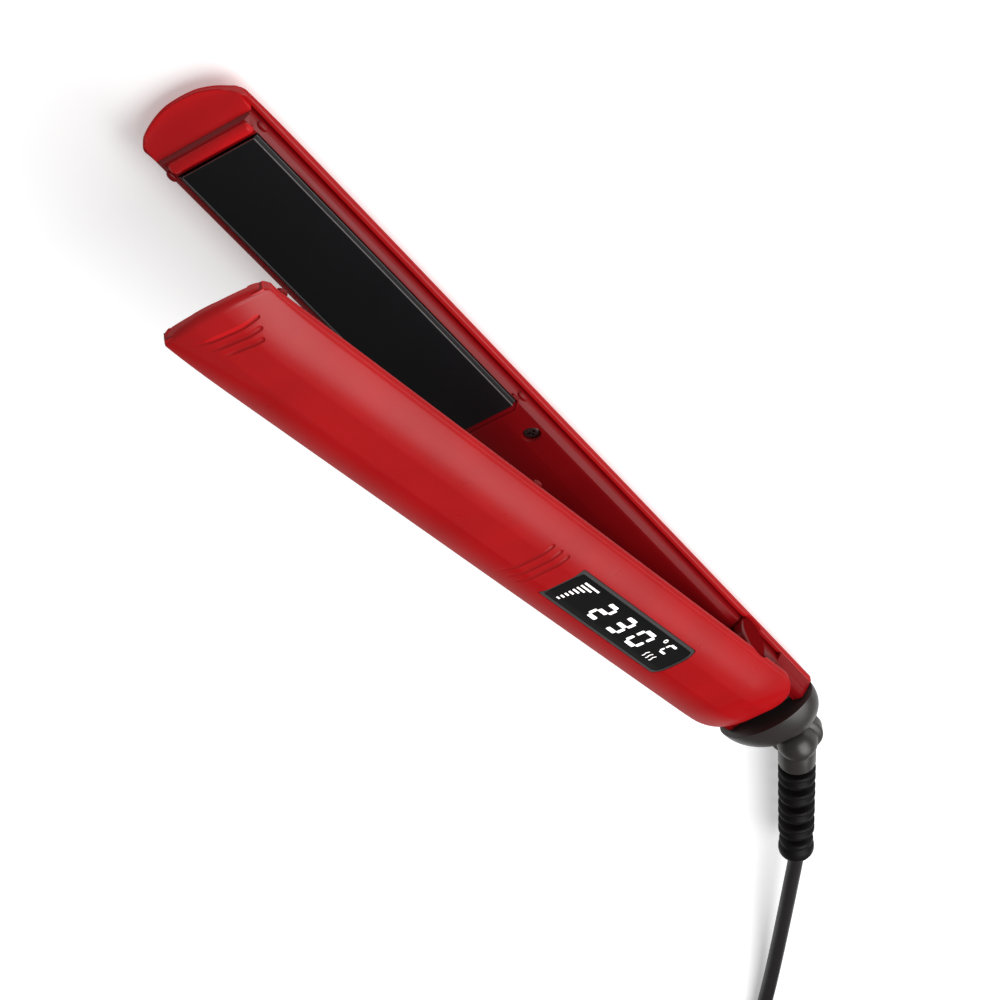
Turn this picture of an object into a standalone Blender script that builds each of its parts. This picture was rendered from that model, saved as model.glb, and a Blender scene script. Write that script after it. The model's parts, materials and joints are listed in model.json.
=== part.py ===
"""Hair straightener with two hinged arms, a digital display and a swivelling mains cord.

The lower arm lies on its flat back and the upper arm is sprung open.
+X runs from the tips to the cord end, +Y is the right side, +Z is up, and z = 0 is the table.
Sizes below are millimetres. Objects are built in metres.

Inside an arm a point is (station, y, depth): the station runs from the tip along the arm,
and the depth grows from the plane where the two arms meet out to the arm's back.
"""
import math

import bmesh
import bpy
from mathutils import Matrix, Vector

MM = 0.001

# Whole object
OVERALL = 319.2  # tip to the far edge of the swivel head's outlet
ORIGIN_STATION = OVERALL / 2
BACK_DEPTH = 13.0  # arm's flat back, below the meeting plane
OPEN_ANGLE = math.radians(12.0)
PIVOT = 256.0  # station of the hinge axis

# Covers
HALF_WIDTH = 15.9
RIM_DEPTH = 5.26
CROWN_RADIUS = 25.8
CROWN_TOP = 13.34  # top of the crown's arc before the flat back is cut
WALL = 1.5
TIP_SAG = 5.0
TIP_CORNER = 3.0
TIP_LENGTH = 34.0  # stretch in which the crown rises to the tip
TIP_FLATTEN = 0.42
LOWER_END = 286.0
TONGUE_END = 284.0
TONGUE_CORNER = 12.0
TONGUE_ROLL = 22.0

# Plates
PLATE_START = 14.0
PLATE_LENGTH = 120.0
PLATE_HALF = 12.0
PLATE_FACE = 0.25
PLATE_THICK = 2.0

# Inner frames
FRAME_HALF = 14.1
FRAME_FLAT = 12.2
FACE_DEPTH = 1.45
PANEL_BACK = 3.0
RIDGE_START = 9.4
SCOOP_START = 1.6
SCOOP_END = 8.0
SCOOP_DEPTH = 4.6  # of the scoop's rear edge, in front of the ridge
UPPER_FRAME_END = 249.0
FRAME_HOLLOW = 12.4

# Hinge
PIN_RADIUS = 2.0
LUG_RADIUS = 4.6
CAP_RADIUS = 6.4
CAP_INNER = 12.4
CAP_OUTER = 15.6

# Screws beside the plate's rear end
SCREW_STATION = 147.6
SCREW_Y = 8.5

# Display window and buttons
WINDOW_START = 167.0
WINDOW_END = 229.0
WINDOW_HALF = 7.4
BUTTONS = (("power_button", 176.0), ("minus_button", 192.0), ("plus_button", 208.0))
BUTTON_RADIUS = 2.8
BUTTON_TOP = 0.95

# Swivel
DOME_CENTRE = (286.0, 4.0)  # station and depth
DOME_RADIUS = 15.9
DOME_SEMI_HEIGHT = 8.5
SWIVEL_STATION = 308.3
HEAD_RADIUS = 8.1
HEAD_BALL = 6.2
HEAD_BOTTOM = 8.8
LIP_RADIUS = 7.0
LIP_BOTTOM = 12.5
SCREW_RADIUS = 1.5
OUTLET_END = 9.3  # from the swivel's axis
RELIEF_ANGLE = math.radians(-30.3)
RELIEF_RADIUS = 5.73
RELIEF_START = 9.6
RELIEF_LENGTH = 43.7
RELIEF_DEPTH = 3.0
RELIEF_GAP = 0.3

# Mains cord, 1.8 m long
CORD_RADIUS = 2.5
CORD_REST = 2.6  # centre height when it lies on the table
COIL_CENTRE = (319.5, -79.8)
COIL_OUTER_TURN = 33.2
COIL_TURN_GAP = 5.2
COIL_OUTER_LEVELS = 2
COIL_LEVELS = 4
COIL_PITCH = 5.1
PLUG_X = COIL_CENTRE[0] + COIL_OUTER_TURN
PLUG_START = COIL_CENTRE[1] + 20.8
PLUG_AXIS = 7.1

# Route points of the lead after the strain relief, in order: x, y, height
LEAD_ROUTE = (
    (198.6, -29.2, 9.8),
    (208.4, -36.4, 9.3),
    (221.5, -45.9, 8.1),
    (240.2, -59.4, 5.9),
    (258.9, -73.3, 4.0),
    (274.7, -85.7, 2.8),
    (283.2, -92.9, CORD_REST),
)


def clear_scene():
    for thing in list(bpy.data.objects):
        bpy.data.objects.remove(thing, do_unlink=True)


def make_material(name, colour, roughness, metallic=0.0):
    material = bpy.data.materials.new(name)
    material.use_nodes = True
    shader = material.node_tree.nodes["Principled BSDF"]
    shader.inputs["Base Color"].default_value = (*colour, 1.0)
    shader.inputs["Roughness"].default_value = roughness
    shader.inputs["Metallic"].default_value = metallic
    return material


MATERIALS = {}


def make_materials():
    MATERIALS["red_gloss"] = make_material("red_gloss", (0.45, 0.008, 0.012), 0.12)
    MATERIALS["red_inner"] = make_material("red_inner", (0.16, 0.004, 0.006), 0.25)
    MATERIALS["plate_black"] = make_material("plate_black", (0.012, 0.012, 0.013), 0.22, 0.3)
    MATERIALS["display_black"] = make_material("display_black", (0.006, 0.006, 0.007), 0.08)
    MATERIALS["black_plastic"] = make_material("black_plastic", (0.02, 0.018, 0.018), 0.4)
    MATERIALS["black_rubber"] = make_material("black_rubber", (0.018, 0.016, 0.016), 0.55)
    MATERIALS["steel"] = make_material("steel", (0.55, 0.55, 0.56), 0.3, 1.0)
    MATERIALS["ceramic_white"] = make_material("ceramic_white", (0.75, 0.73, 0.68), 0.6)
    MATERIALS["board_green"] = make_material("board_green", (0.02, 0.14, 0.05), 0.5)
    MATERIALS["nylon"] = make_material("nylon", (0.05, 0.05, 0.05), 0.6)


def empty(name, location, rotation=(0.0, 0.0, 0.0), parent=None):
    holder = bpy.data.objects.new(name, None)
    bpy.context.scene.collection.objects.link(holder)
    holder.location = location
    holder.rotation_euler = rotation
    holder.parent = parent
    return holder


def finish_mesh(name, bm, material, parent=None, smooth_angle=None):
    """Makes an object from a bmesh, with its faces pointing out."""
    bmesh.ops.remove_doubles(bm, verts=bm.verts, dist=1e-7)
    bmesh.ops.recalc_face_normals(bm, faces=bm.faces)
    mesh = bpy.data.meshes.new(name)
    bm.to_mesh(mesh)
    bm.free()
    if smooth_angle is not None:
        mesh.shade_smooth()
        mesh.set_sharp_from_angle(angle=math.radians(smooth_angle))
    mesh.materials.append(MATERIALS[material])
    node = bpy.data.objects.new(name, mesh)
    bpy.context.scene.collection.objects.link(node)
    node.parent = parent
    return node


def loft(loops, strip_ends=False):
    """Skins closed loops of equal point counts and closes both ends."""
    bm = bmesh.new()
    rings = [[bm.verts.new(point) for point in loop] for loop in loops]
    for first, second in zip(rings, rings[1:]):
        for i in range(len(first)):
            j = (i + 1) % len(first)
            bm.faces.new((first[i], first[j], second[j], second[i]))
    for ring in (rings[0], rings[-1]):
        last = len(ring) - 1
        if strip_ends:
            for i in range(last // 2):
                bm.faces.new((ring[i], ring[i + 1], ring[last - i - 1], ring[last - i]))
        else:
            bm.faces.new(ring)
    return bm


def flatten_faces(node):
    """Splits a mesh's faces into triangles, so that none of them is twisted."""
    bm = bmesh.new()
    bm.from_mesh(node.data)
    bmesh.ops.triangulate(bm, faces=bm.faces)
    bm.to_mesh(node.data)
    bm.free()


def combine(target, tool, operation):
    """Applies an exact Boolean to the target and removes the tool."""
    modifier = target.modifiers.new("combine", "BOOLEAN")
    modifier.operation = operation
    modifier.solver = "EXACT"
    modifier.object = tool
    bpy.context.view_layer.update()
    graph = bpy.context.evaluated_depsgraph_get()
    mesh = bpy.data.meshes.new_from_object(target.evaluated_get(graph))
    target.modifiers.clear()
    old = target.data
    target.data = mesh
    mesh.name = target.name
    bpy.data.meshes.remove(old)
    bpy.data.objects.remove(tool, do_unlink=True)


def cut(target, tool):
    combine(target, tool, "DIFFERENCE")


def weld(target, tool):
    combine(target, tool, "UNION")


class Arm:
    """One arm's own space, with its origin on the hinge axis."""

    def __init__(self, name, side, opening):
        self.side = side
        place = ((PIVOT - ORIGIN_STATION) * MM, 0.0, BACK_DEPTH * MM)
        self.holder = empty(name, place, (0.0, opening, 0.0))

    def point(self, station, y, depth):
        return Vector(((station - PIVOT) * MM, y * MM, self.side * depth * MM))

    def sections(self, name, loops, material, smooth_angle=None, strip_ends=False):
        """Lofts through loops of (station, y, depth) points."""
        placed = [[self.point(*p) for p in loop] for loop in loops]
        return finish_mesh(name, loft(placed, strip_ends), material, self.holder, smooth_angle)

    def prism_x(self, name, outline, start, end, material):
        """Extrudes a (y, depth) outline along the arm."""
        loops = [[(s, y, d) for y, d in outline] for s in (start, end)]
        return self.sections(name, loops, material)

    def prism_y(self, name, outline, start, end, material):
        """Extrudes a (station, depth) outline across the arm."""
        loops = [[(s, y, d) for s, d in outline] for y in (start, end)]
        return self.sections(name, loops, material)

    def box(self, name, stations, ys, depths, material):
        outline = [(ys[0], depths[0]), (ys[1], depths[0]), (ys[1], depths[1]), (ys[0], depths[1])]
        return self.prism_x(name, outline, stations[0], stations[1], material)

    def turned(self, name, axis, centre, profile, segments, material, smooth_angle=30.0):
        """Turns a (distance along the axis, radius) profile about an axis through the centre."""
        loops = []
        for along, radius in profile:
            loop = []
            for i in range(segments):
                a = 2 * math.pi * (i + 0.5) / segments
                u = radius * math.cos(a)
                v = radius * math.sin(a)
                offset = {"y": (u, along, v), "z": (u, v, along)}[axis]
                loop.append(tuple(c + o for c, o in zip(centre, offset)))
            loops.append(loop)
        return self.sections(name, loops, material, smooth_angle)


def rod(length, radius, start=0.0):
    return [(start, radius), (start + length, radius)]


# Covers


def crown_depth(y, station):
    """Depth of the cover's outside: a crown with a flat back, lower towards the tip."""
    arc = CROWN_TOP - CROWN_RADIUS + math.sqrt(CROWN_RADIUS**2 - y * y)
    full = min(arc, BACK_DEPTH)
    left = max(0.0, 1.0 - station / TIP_LENGTH)
    return RIM_DEPTH + (full - RIM_DEPTH) * (1.0 - TIP_FLATTEN * left**2)


def tongue_depth(y, station):
    """Depth of the upper cover's outside, which also rolls down at the rear."""
    into = max(0.0, station - (TONGUE_END - TONGUE_ROLL)) / (TONGUE_ROLL * 1.12)
    return RIM_DEPTH + (crown_depth(y, station) - RIM_DEPTH) * math.sqrt(1.0 - into**2)


def tip_bulge(y, station):
    """How far a section's sides trail its middle, which rounds the tip."""
    shape = abs(y / HALF_WIDTH) ** 2.2
    return TIP_SAG * shape * max(0.0, 1.0 - max(0.0, station) / 24.0) ** 2


def half_width(station, inset, rear_end):
    half = HALF_WIDTH - inset
    near_tip = max(0.0, TIP_CORNER - max(0.0, station))
    half -= TIP_CORNER - math.sqrt(TIP_CORNER**2 - near_tip**2)
    if rear_end:
        corner = TONGUE_CORNER - inset
        past = max(0.0, station - (rear_end - inset) + corner)
        half -= corner - math.sqrt(max(0.0, corner**2 - past**2))
    return half


def cover_loop(station, inset, top, depth_at, rear_end):
    """A closed section of the cover's block: the crown one way and the open side back."""
    half = half_width(station, inset, rear_end)
    steps = 14
    crown = []
    for i in range(steps + 1):
        y = half * math.cos(math.pi * i / steps)
        crown.append((y, depth_at(y, max(0.0, station)) - 1.15 * inset))
    loop = crown + [(y, top) for y, depth in reversed(crown)]
    placed = []
    for y, depth in loop:
        placed.append((station + tip_bulge(y, station), y, depth))
    return placed


def build_cover(arm, name, depth_at, rear_end):
    tip = [0.0, 0.6, 1.5, 3.0, 6.0, 10.0, 16.0, 24.0, 34.0, 150.0]
    if rear_end:
        first = rear_end - TONGUE_ROLL
        outer_rear = [first + TONGUE_ROLL * math.sin(math.pi / 2 * i / 8) for i in range(9)]
        inner_rear = [first + (TONGUE_ROLL - WALL) * math.sin(math.pi / 2 * i / 8) for i in range(9)]
    else:
        outer_rear = [LOWER_END]
        inner_rear = [LOWER_END + 5.0]
    outer = [cover_loop(s, 0.0, RIM_DEPTH, depth_at, rear_end) for s in tip + outer_rear]
    stations = [-6.0] + [s + 0.35 for s in tip] + inner_rear
    inner = [cover_loop(s, WALL, RIM_DEPTH - 2.0, depth_at, rear_end) for s in stations]
    cover = arm.sections(name, outer, "red_gloss", 40.0, True)
    cavity = arm.sections("cavity", inner, "red_gloss", None, True)
    cut(cover, cavity)
    for side in (-1, 1):
        notch = arm.turned("notch", "y", (PIVOT, side * 16.5, 0.0), rod(8.8, 6.8, -4.4), 32, "red_gloss")
        cut(cover, notch)
    return cover


# Inner frames


def frame_loop(station):
    """Section of the inner frame: flat face, two bevels and a back that follows the cover.

    In front of the ridge the face is the scoop, which sinks to just inside the cover's lip.
    """
    half = FRAME_HALF if station > SCOOP_END else half_width(station, WALL + 0.6, None)
    along = min(1.0, (station - SCOOP_START) / (SCOOP_END - SCOOP_START))
    rise = along * along * (3.0 - 2.0 * along)
    face = []
    back = []
    for place in (FRAME_HALF, FRAME_FLAT, 11.0, 7.0, 0.0, -7.0, -11.0, -FRAME_FLAT, -FRAME_HALF):
        y = place * half / FRAME_HALF
        forward = station + tip_bulge(y, station) * (1.0 - along) ** 2
        under = min(8.6, crown_depth(y, station) - 2.2)
        if station > SCOOP_END:
            depth = 2.5 if abs(place) == FRAME_HALF else FACE_DEPTH
        else:
            depth = under - 0.25 - (under - 0.25 - SCOOP_DEPTH) * rise
        face.append((forward, y, depth))
        back.append((forward, y, under))
    return back + face[::-1]


def ridge_outline():
    """Rounded bar in front of the plate, as (station, depth)."""
    points = [(RIDGE_START + 0.2, 3.2)]
    for i in range(5):
        a = math.pi * (1.0 - i / 4.0)
        points.append((RIDGE_START + 2.1 + 1.9 * math.cos(a), 2.0 - 1.6 * math.sin(a)))
    points += [(PLATE_START - 0.45, 2.6), (PLATE_START - 0.45, 3.2)]
    return points


def build_frame(arm, name, end):
    stations = [SCOOP_START, 3.0, 4.5, 6.0, 7.1, SCOOP_END, RIDGE_START, 16.0, 24.0, 34.0, end]
    frame = arm.sections(name, [frame_loop(s) for s in stations], "red_inner", None, True)
    flatten_faces(frame)
    weld(frame, arm.prism_y("ridge", ridge_outline(), -12.6, 12.6, "red_inner"))
    plate_end = PLATE_START + PLATE_LENGTH
    window = (PLATE_START - 0.4, plate_end + 0.4)
    hollow = (-FRAME_HOLLOW, FRAME_HOLLOW)
    cut(frame, arm.box("window", window, hollow, (-4.0, 20.0), "red_inner"))
    handle = (plate_end + 4.0, PIVOT - 10.0)
    cut(frame, arm.box("hollow", handle, hollow, (PANEL_BACK, 20.0), "red_inner"))
    for side in (-1, 1):
        centre = (SCREW_STATION, side * SCREW_Y, 0.0)
        cut(frame, arm.turned("hole", "z", centre, rod(9.0, 2.6, -2.0), 20, "red_inner"))
    return frame


def lug_outline(reach, foot):
    """A disc round the hinge axis with a block that joins it to the frame, as (station, depth)."""
    points = []
    for i in range(13):
        a = math.radians(-150.0 + 240.0 * i / 12)
        points.append((PIVOT + LUG_RADIUS * math.cos(a), LUG_RADIUS * math.sin(a)))
    return points + [(PIVOT, foot), (PIVOT - reach, foot), (PIVOT - reach, 1.6)]


def add_lugs(arm, frame, ys, reach, foot):
    for side in (-1, 1):
        ends = sorted((side * ys[0], side * ys[1]))
        weld(frame, arm.prism_y("lug", lug_outline(reach, foot), ends[0], ends[1], "red_inner"))
    bore = arm.turned("bore", "y", (PIVOT, 0.0, 0.0), rod(30.0, PIN_RADIUS + 0.3, -15.0), 24, "red_inner")
    cut(frame, bore)


def build_lower_frame(arm):
    end = LOWER_END - 0.3
    frame = build_frame(arm, "lower_frame", end)
    cut(frame, arm.box("rear", (PIVOT - 11.0, end + 5.0), (-9.3, 9.3), (-9.0, 20.0), "red_inner"))
    shoulder = [(11.0, 0.9), (12.6, 0.9), (15.3, 4.0), (15.6, 4.9), (14.0, 4.9), (14.0, 6.4), (11.0, 6.4)]
    for side in (-1, 1):
        outline = [(side * y, d) for y, d in shoulder]
        weld(frame, arm.prism_x("shoulder", outline, PIVOT + 9.0, end - 0.2, "red_inner"))
    for side in (-1, 1):
        notch = arm.turned("notch", "y", (PIVOT, side * 16.5, 0.0), rod(8.8, 6.8, -4.4), 32, "red_inner")
        cut(frame, notch)
    add_lugs(arm, frame, (9.6, 11.8), 5.0, 6.5)
    return frame


def build_upper_frame(arm):
    frame = build_frame(arm, "upper_frame", UPPER_FRAME_END)
    cut(frame, arm.box("rear", (PIVOT - 11.0, PIVOT), (-12.3, 12.3), (-9.0, 20.0), "red_inner"))
    add_lugs(arm, frame, (6.6, 9.0), 18.0, 5.6)
    for name, station in BUTTONS:
        hole = arm.turned("hole", "z", (station, 0.0, 0.0), rod(9.0, BUTTON_RADIUS + 0.3, -2.0), 20, "red_inner")
        cut(frame, hole)
    return frame


def build_screws(arm, prefix):
    for side, word in ((-1, "left"), (1, "right")):
        profile = [(2.1, 1.2), (2.1, 2.2), (3.4, 1.3), (3.4, 1.2), (9.2, 1.2)]
        centre = (SCREW_STATION, side * SCREW_Y, 0.0)
        arm.turned(f"{prefix}_screw_{word}", "z", centre, profile, 16, "steel")


# Heating


def build_plate(arm, prefix):
    """Heat plate, its heater and clamp, on a holder that slides along the depth."""
    middle = PLATE_START + PLATE_LENGTH / 2
    plate_arm = Arm.__new__(Arm)
    plate_arm.side = arm.side
    plate_arm.holder = empty(f"{prefix}_plate_slide", arm.point(middle, 0.0, 0.0), parent=arm.holder)
    plate_arm.point = lambda s, y, d: Vector(((s - middle) * MM, y * MM, arm.side * d * MM))
    back = PLATE_FACE + PLATE_THICK
    edge = 1.3
    foot = 4.6
    outline = []
    for i in range(4):
        a = math.pi / 2 * i / 3
        outline.append((PLATE_HALF - edge + edge * math.cos(a), PLATE_FACE + edge - edge * math.sin(a)))
    right = [(PLATE_HALF - edge, back), (PLATE_HALF - edge, foot), (PLATE_HALF, foot)] + outline
    left = [(-y, d) for y, d in reversed(right)]
    ends = (PLATE_START, PLATE_START + PLATE_LENGTH)
    plate_arm.prism_x(f"{prefix}_heat_plate", right + left, ends[0], ends[1], "plate_black")
    heater = (ends[0] + 18.0, ends[1] - 18.0)
    plate_arm.box(f"{prefix}_ptc_heater", heater, (-6.0, 6.0), (back + 0.3, 4.2), "ceramic_white")
    clamp = (ends[0] + 12.0, ends[1] - 12.0)
    plate_arm.box(f"{prefix}_heater_clamp", clamp, (-8.0, 8.0), (4.5, 5.3), "steel")
    return plate_arm


def build_plate_support(arm, prefix):
    """Nylon tray behind the plate with two bowed leaf springs in it."""
    first = PLATE_START + 12.0
    last = PLATE_START + PLATE_LENGTH - 2.0
    tray = arm.box(f"{prefix}_heater_tray", (first, last), (-9.4, 9.4), (6.9, 9.3), "nylon")
    cut(tray, arm.box("pocket", (first + 2.0, last - 2.0), (-8.0, 8.0), (5.0, 8.4), "nylon"))
    for word, centre in (("front", first + 18.0), ("rear", last - 18.0)):
        loops = []
        for i in range(9):
            t = -1.0 + i / 4.0
            depth = 6.9 + 0.9 * t * t
            s = centre + 11.0 * t
            loops.append([(s, -5.0, depth), (s, 5.0, depth), (s, 5.0, depth + 0.4), (s, -5.0, depth + 0.4)])
        arm.sections(f"{prefix}_plate_spring_{word}", loops, "steel")


# Handle


def build_display(arm):
    """Window in the upper cover's crown, with the display module behind it."""

    def lens_loop(station):
        top = []
        for i in range(9):
            y = WINDOW_HALF * (1.0 - i / 4.0)
            top.append((station, y, crown_depth(y, station) - 0.05))
        return [(station, WINDOW_HALF, 10.9)] + top + [(station, -WINDOW_HALF, 10.9)]

    loops = [lens_loop(s) for s in (WINDOW_START, WINDOW_END)]
    arm.sections("display_lens", loops, "display_black")
    ends = (WINDOW_START + 1.0, WINDOW_END - 1.0)
    arm.box("display_module", ends, (-7.0, 7.0), (8.0, 10.5), "black_plastic")


def build_controls(arm):
    arm.box("control_board", (150.0, 240.0), (-9.4, 9.4), (5.9, 7.5), "board_green")
    arm.box("button_pad", (170.0, 214.0), (-5.0, 5.0), (4.9, 5.6), "black_rubber")
    for name, station in BUTTONS:
        profile = [
            (BUTTON_TOP, BUTTON_RADIUS - 0.5),
            (BUTTON_TOP + 0.5, BUTTON_RADIUS),
            (3.3, BUTTON_RADIUS),
            (3.3, BUTTON_RADIUS + 0.8),
            (3.9, BUTTON_RADIUS + 0.8),
        ]
        holder = empty(f"{name}_slide", arm.point(station, 0.0, 0.0), parent=arm.holder)
        button = arm.turned(name, "z", (PIVOT, 0.0, 0.0), profile, 20, "black_plastic")
        button.parent = holder


def build_wiring(arm):
    arm.box("terminal_block", (206.0, 222.0), (-7.0, 7.0), (3.6, 8.4), "nylon")
    for name, y in (("live_lead", -3.0), ("neutral_lead", 3.0)):
        points = []
        for i in range(13):
            t = i / 12.0
            points.append(arm.point(222.4 + 48.4 * t, y * (1.0 - 0.35 * t), 6.9 + 0.7 * math.sin(math.pi * t)))
        tube(name, points, 0.9, "black_rubber", arm.holder, 2)


# Hinge


def build_hinge(arm):
    centre = (PIVOT, 0.0, 0.0)
    arm.turned("hinge_pin", "y", centre, rod(24.2, PIN_RADIUS, -12.1), 24, "steel")
    profile = [(CAP_INNER, CAP_RADIUS), (CAP_OUTER - 0.9, CAP_RADIUS), (CAP_OUTER - 0.25, CAP_RADIUS - 0.6)]
    profile.append((CAP_OUTER, CAP_RADIUS - 2.0))
    arm.turned("pivot_cap_right", "y", centre, profile, 36, "red_gloss")
    mirrored = [(-along, radius) for along, radius in profile]
    arm.turned("pivot_cap_left", "y", centre, mirrored, 36, "red_gloss")
    turns = 6
    points = [arm.point(PIVOT - 10.4, -5.4, 3.9)]
    for i in range(turns * 12 + 1):
        a = math.pi / 2 + 2 * math.pi * i / 12
        y = -5.4 + 10.8 * i / (turns * 12)
        points.append(arm.point(PIVOT + 3.4 * math.cos(a), y, 3.4 * math.sin(a)))
    points.append(arm.point(PIVOT - 9.2, 5.4, -4.6))
    tube("hinge_spring", points, 0.55, "steel", arm.holder, 1)


# Swivel and cord


def build_swivel_housing(arm):
    """Rounded black end of the lower arm, notched for the cord's swivelling head."""
    station, depth = DOME_CENTRE
    loops = []
    rows = 14
    for i in range(rows + 1):
        a = math.pi * i / rows
        radius = max(0.6, DOME_RADIUS * math.sin(a))
        d = depth - DOME_SEMI_HEIGHT * math.cos(a)
        loop = []
        for k in range(48):
            b = 2 * math.pi * k / 48
            loop.append((station + radius * math.cos(b), radius * math.sin(b), d))
        loops.append(loop)
    housing = arm.sections("swivel_housing", loops, "black_plastic", 40.0)
    cut(housing, arm.box("front", (260.0, LOWER_END + 0.3), (-20.0, 20.0), (-20.0, 20.0), "black_plastic"))
    weld(housing, arm.box("spigot", (273.0, LOWER_END + 2.0), (-9.0, 9.0), (3.4, 8.2), "black_plastic"))
    clear = HEAD_BOTTOM + 0.3
    loops = []
    for depth, inset in ((clear, 0.0), (LIP_BOTTOM - 1.2, 0.0), (LIP_BOTTOM, 1.0)):
        loop = [(290.0, LIP_RADIUS - inset, depth), (290.0, inset - LIP_RADIUS, depth)]
        for i in range(19):
            a = math.pi * (i / 18.0 - 0.5)
            reach = LIP_RADIUS - inset
            loop.append((SWIVEL_STATION + reach * math.cos(a), reach * math.sin(a), depth))
        loops.append(loop)
    weld(housing, arm.sections("lip", loops, "black_plastic"))
    pivot = (SWIVEL_STATION, 0.0, 0.0)
    bore = rod(clear + 20.0, HEAD_RADIUS + 0.4, -20.0)
    cut(housing, arm.turned("bore", "z", pivot, bore, 48, "black_plastic"))
    cut(housing, arm.turned("screw_way", "z", pivot, rod(6.0, SCREW_RADIUS + 0.3, 7.0), 20, "black_plastic"))
    cut(housing, arm.turned("sink", "z", pivot, rod(4.0, 3.3, LIP_BOTTOM - 1.8), 24, "black_plastic"))
    lead = arm.turned("lead_way", "y", (281.0, 0.0, 7.6), rod(14.0, 1.4, -7.0), 16, "black_plastic")
    cut(housing, lead)
    screw = [(0.8, SCREW_RADIUS), (LIP_BOTTOM - 1.5, SCREW_RADIUS), (LIP_BOTTOM - 1.5, 3.0), (LIP_BOTTOM - 0.3, 3.0)]
    arm.turned("swivel_retainer", "z", pivot, screw, 20, "steel")


def relief_profile():
    """Four double flanges with deep grooves between them, and a thick rounded end ring."""
    neck = 3.4
    points = [(RELIEF_START, neck)]
    first = 11.3
    pitch = 8.35
    flange = 6.2
    for i in range(4):
        start = first + pitch * i
        radius = RELIEF_RADIUS - 0.05 * i
        points.append((start, neck))
        points.append((start + 0.3, radius - 0.15))
        points.append((start + 0.6, radius))
        points.append((start + 1.7, radius))
        points.append((start + flange / 2, radius - 1.15))
        points.append((start + flange - 1.7, radius))
        points.append((start + flange - 0.6, radius))
        points.append((start + flange - 0.3, radius - 0.15))
        points.append((start + flange, neck))
    ring = first + pitch * 4
    end = RELIEF_START + RELIEF_LENGTH
    points += [(ring, neck), (ring, 5.1), (ring + 1.9, 5.3), (ring + 2.9, 4.6), (ring + 3.9, 5.3)]
    points += [(end - 2.2, 5.5), (end - 0.8, 5.1), (end, 4.0)]
    return points


def ring_loops(matrix, profile, segments):
    """Circles of a (distance along the axis, radius) profile, placed by the matrix."""
    loops = []
    for along, radius in profile:
        loop = []
        for i in range(segments):
            a = 2 * math.pi * i / segments
            loop.append(matrix @ Vector((radius * math.cos(a), radius * math.sin(a), along)) * MM)
        loops.append(loop)
    return loops


def build_swivel(holder):
    """The head turns about a vertical screw and carries the strain relief and the whole cord."""
    profile = [(-0.4, 0.4), (-0.4, SCREW_RADIUS + 0.3), (-HEAD_BOTTOM, SCREW_RADIUS + 0.3)]
    profile += [(-HEAD_BOTTOM, 7.2), (-HEAD_BOTTOM + 0.8, HEAD_RADIUS), (-4.9, HEAD_RADIUS)]
    profile += [(-4.1, HEAD_RADIUS - 0.5), (-3.4, HEAD_BALL)]
    for i in range(1, 8):
        a = math.radians(86.0 * i / 7)
        profile.append((-RELIEF_DEPTH + HEAD_BALL * math.sin(a), HEAD_BALL * math.cos(a)))
    head = finish_mesh("swivel_head", loft(ring_loops(Matrix(), profile, 36)), "black_plastic", holder)
    turn = Matrix.Translation((0.0, 0.0, -RELIEF_DEPTH)) @ Matrix.Rotation(RELIEF_ANGLE, 4, "Z")
    turn = turn @ Matrix.Rotation(math.pi / 2, 4, "Y")
    outlet = [(2.5, RELIEF_RADIUS), (OUTLET_END - 0.4, RELIEF_RADIUS), (OUTLET_END, RELIEF_RADIUS - 0.4)]
    weld(head, finish_mesh("outlet", loft(ring_loops(turn, outlet, 32)), "black_plastic", holder))
    head.data.shade_smooth()
    head.data.set_sharp_from_angle(angle=math.radians(35.0))
    loops = ring_loops(turn, relief_profile(), 24)
    finish_mesh("strain_relief", loft(loops), "black_rubber", holder, 30.0)


def tube(name, points, radius, material, parent, resolution):
    """A bevelled curve through points that are already in the parent's space."""
    curve = bpy.data.curves.new(name, "CURVE")
    curve.dimensions = "3D"
    curve.bevel_depth = radius * MM
    curve.bevel_resolution = resolution
    curve.use_fill_caps = True
    spline = curve.splines.new("POLY")
    spline.points.add(len(points) - 1)
    for target, point in zip(spline.points, points):
        target.co = (*point, 1.0)
    curve.materials.append(MATERIALS[material])
    node = bpy.data.objects.new(name, curve)
    bpy.context.scene.collection.objects.link(node)
    node.parent = parent
    return node


def smooth_route(points, step):
    """Reads evenly spaced points from a Catmull-Rom curve through the route's points."""
    route = [Vector(p) for p in points]
    route = [2 * route[0] - route[1]] + route + [2 * route[-1] - route[-2]]
    fine = []
    for i in range(1, len(route) - 2):
        a, b, c, d = route[i - 1], route[i], route[i + 1], route[i + 2]
        for k in range(24):
            t = k / 24.0
            fine.append(
                0.5 * (2 * b + (c - a) * t + (2 * a - 5 * b + 4 * c - d) * t**2 + (3 * b - a - 3 * c + d) * t**3)
            )
    fine.append(route[-2])
    chosen = [fine[0]]
    gone = 0.0
    for before, after in zip(fine, fine[1:]):
        gone += (after - before).length
        if gone >= step:
            chosen.append(after)
            gone = 0.0
    if (chosen[-1] - fine[-1]).length < step / 2:
        chosen[-1] = fine[-1]
    else:
        chosen.append(fine[-1])
    return chosen


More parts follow.
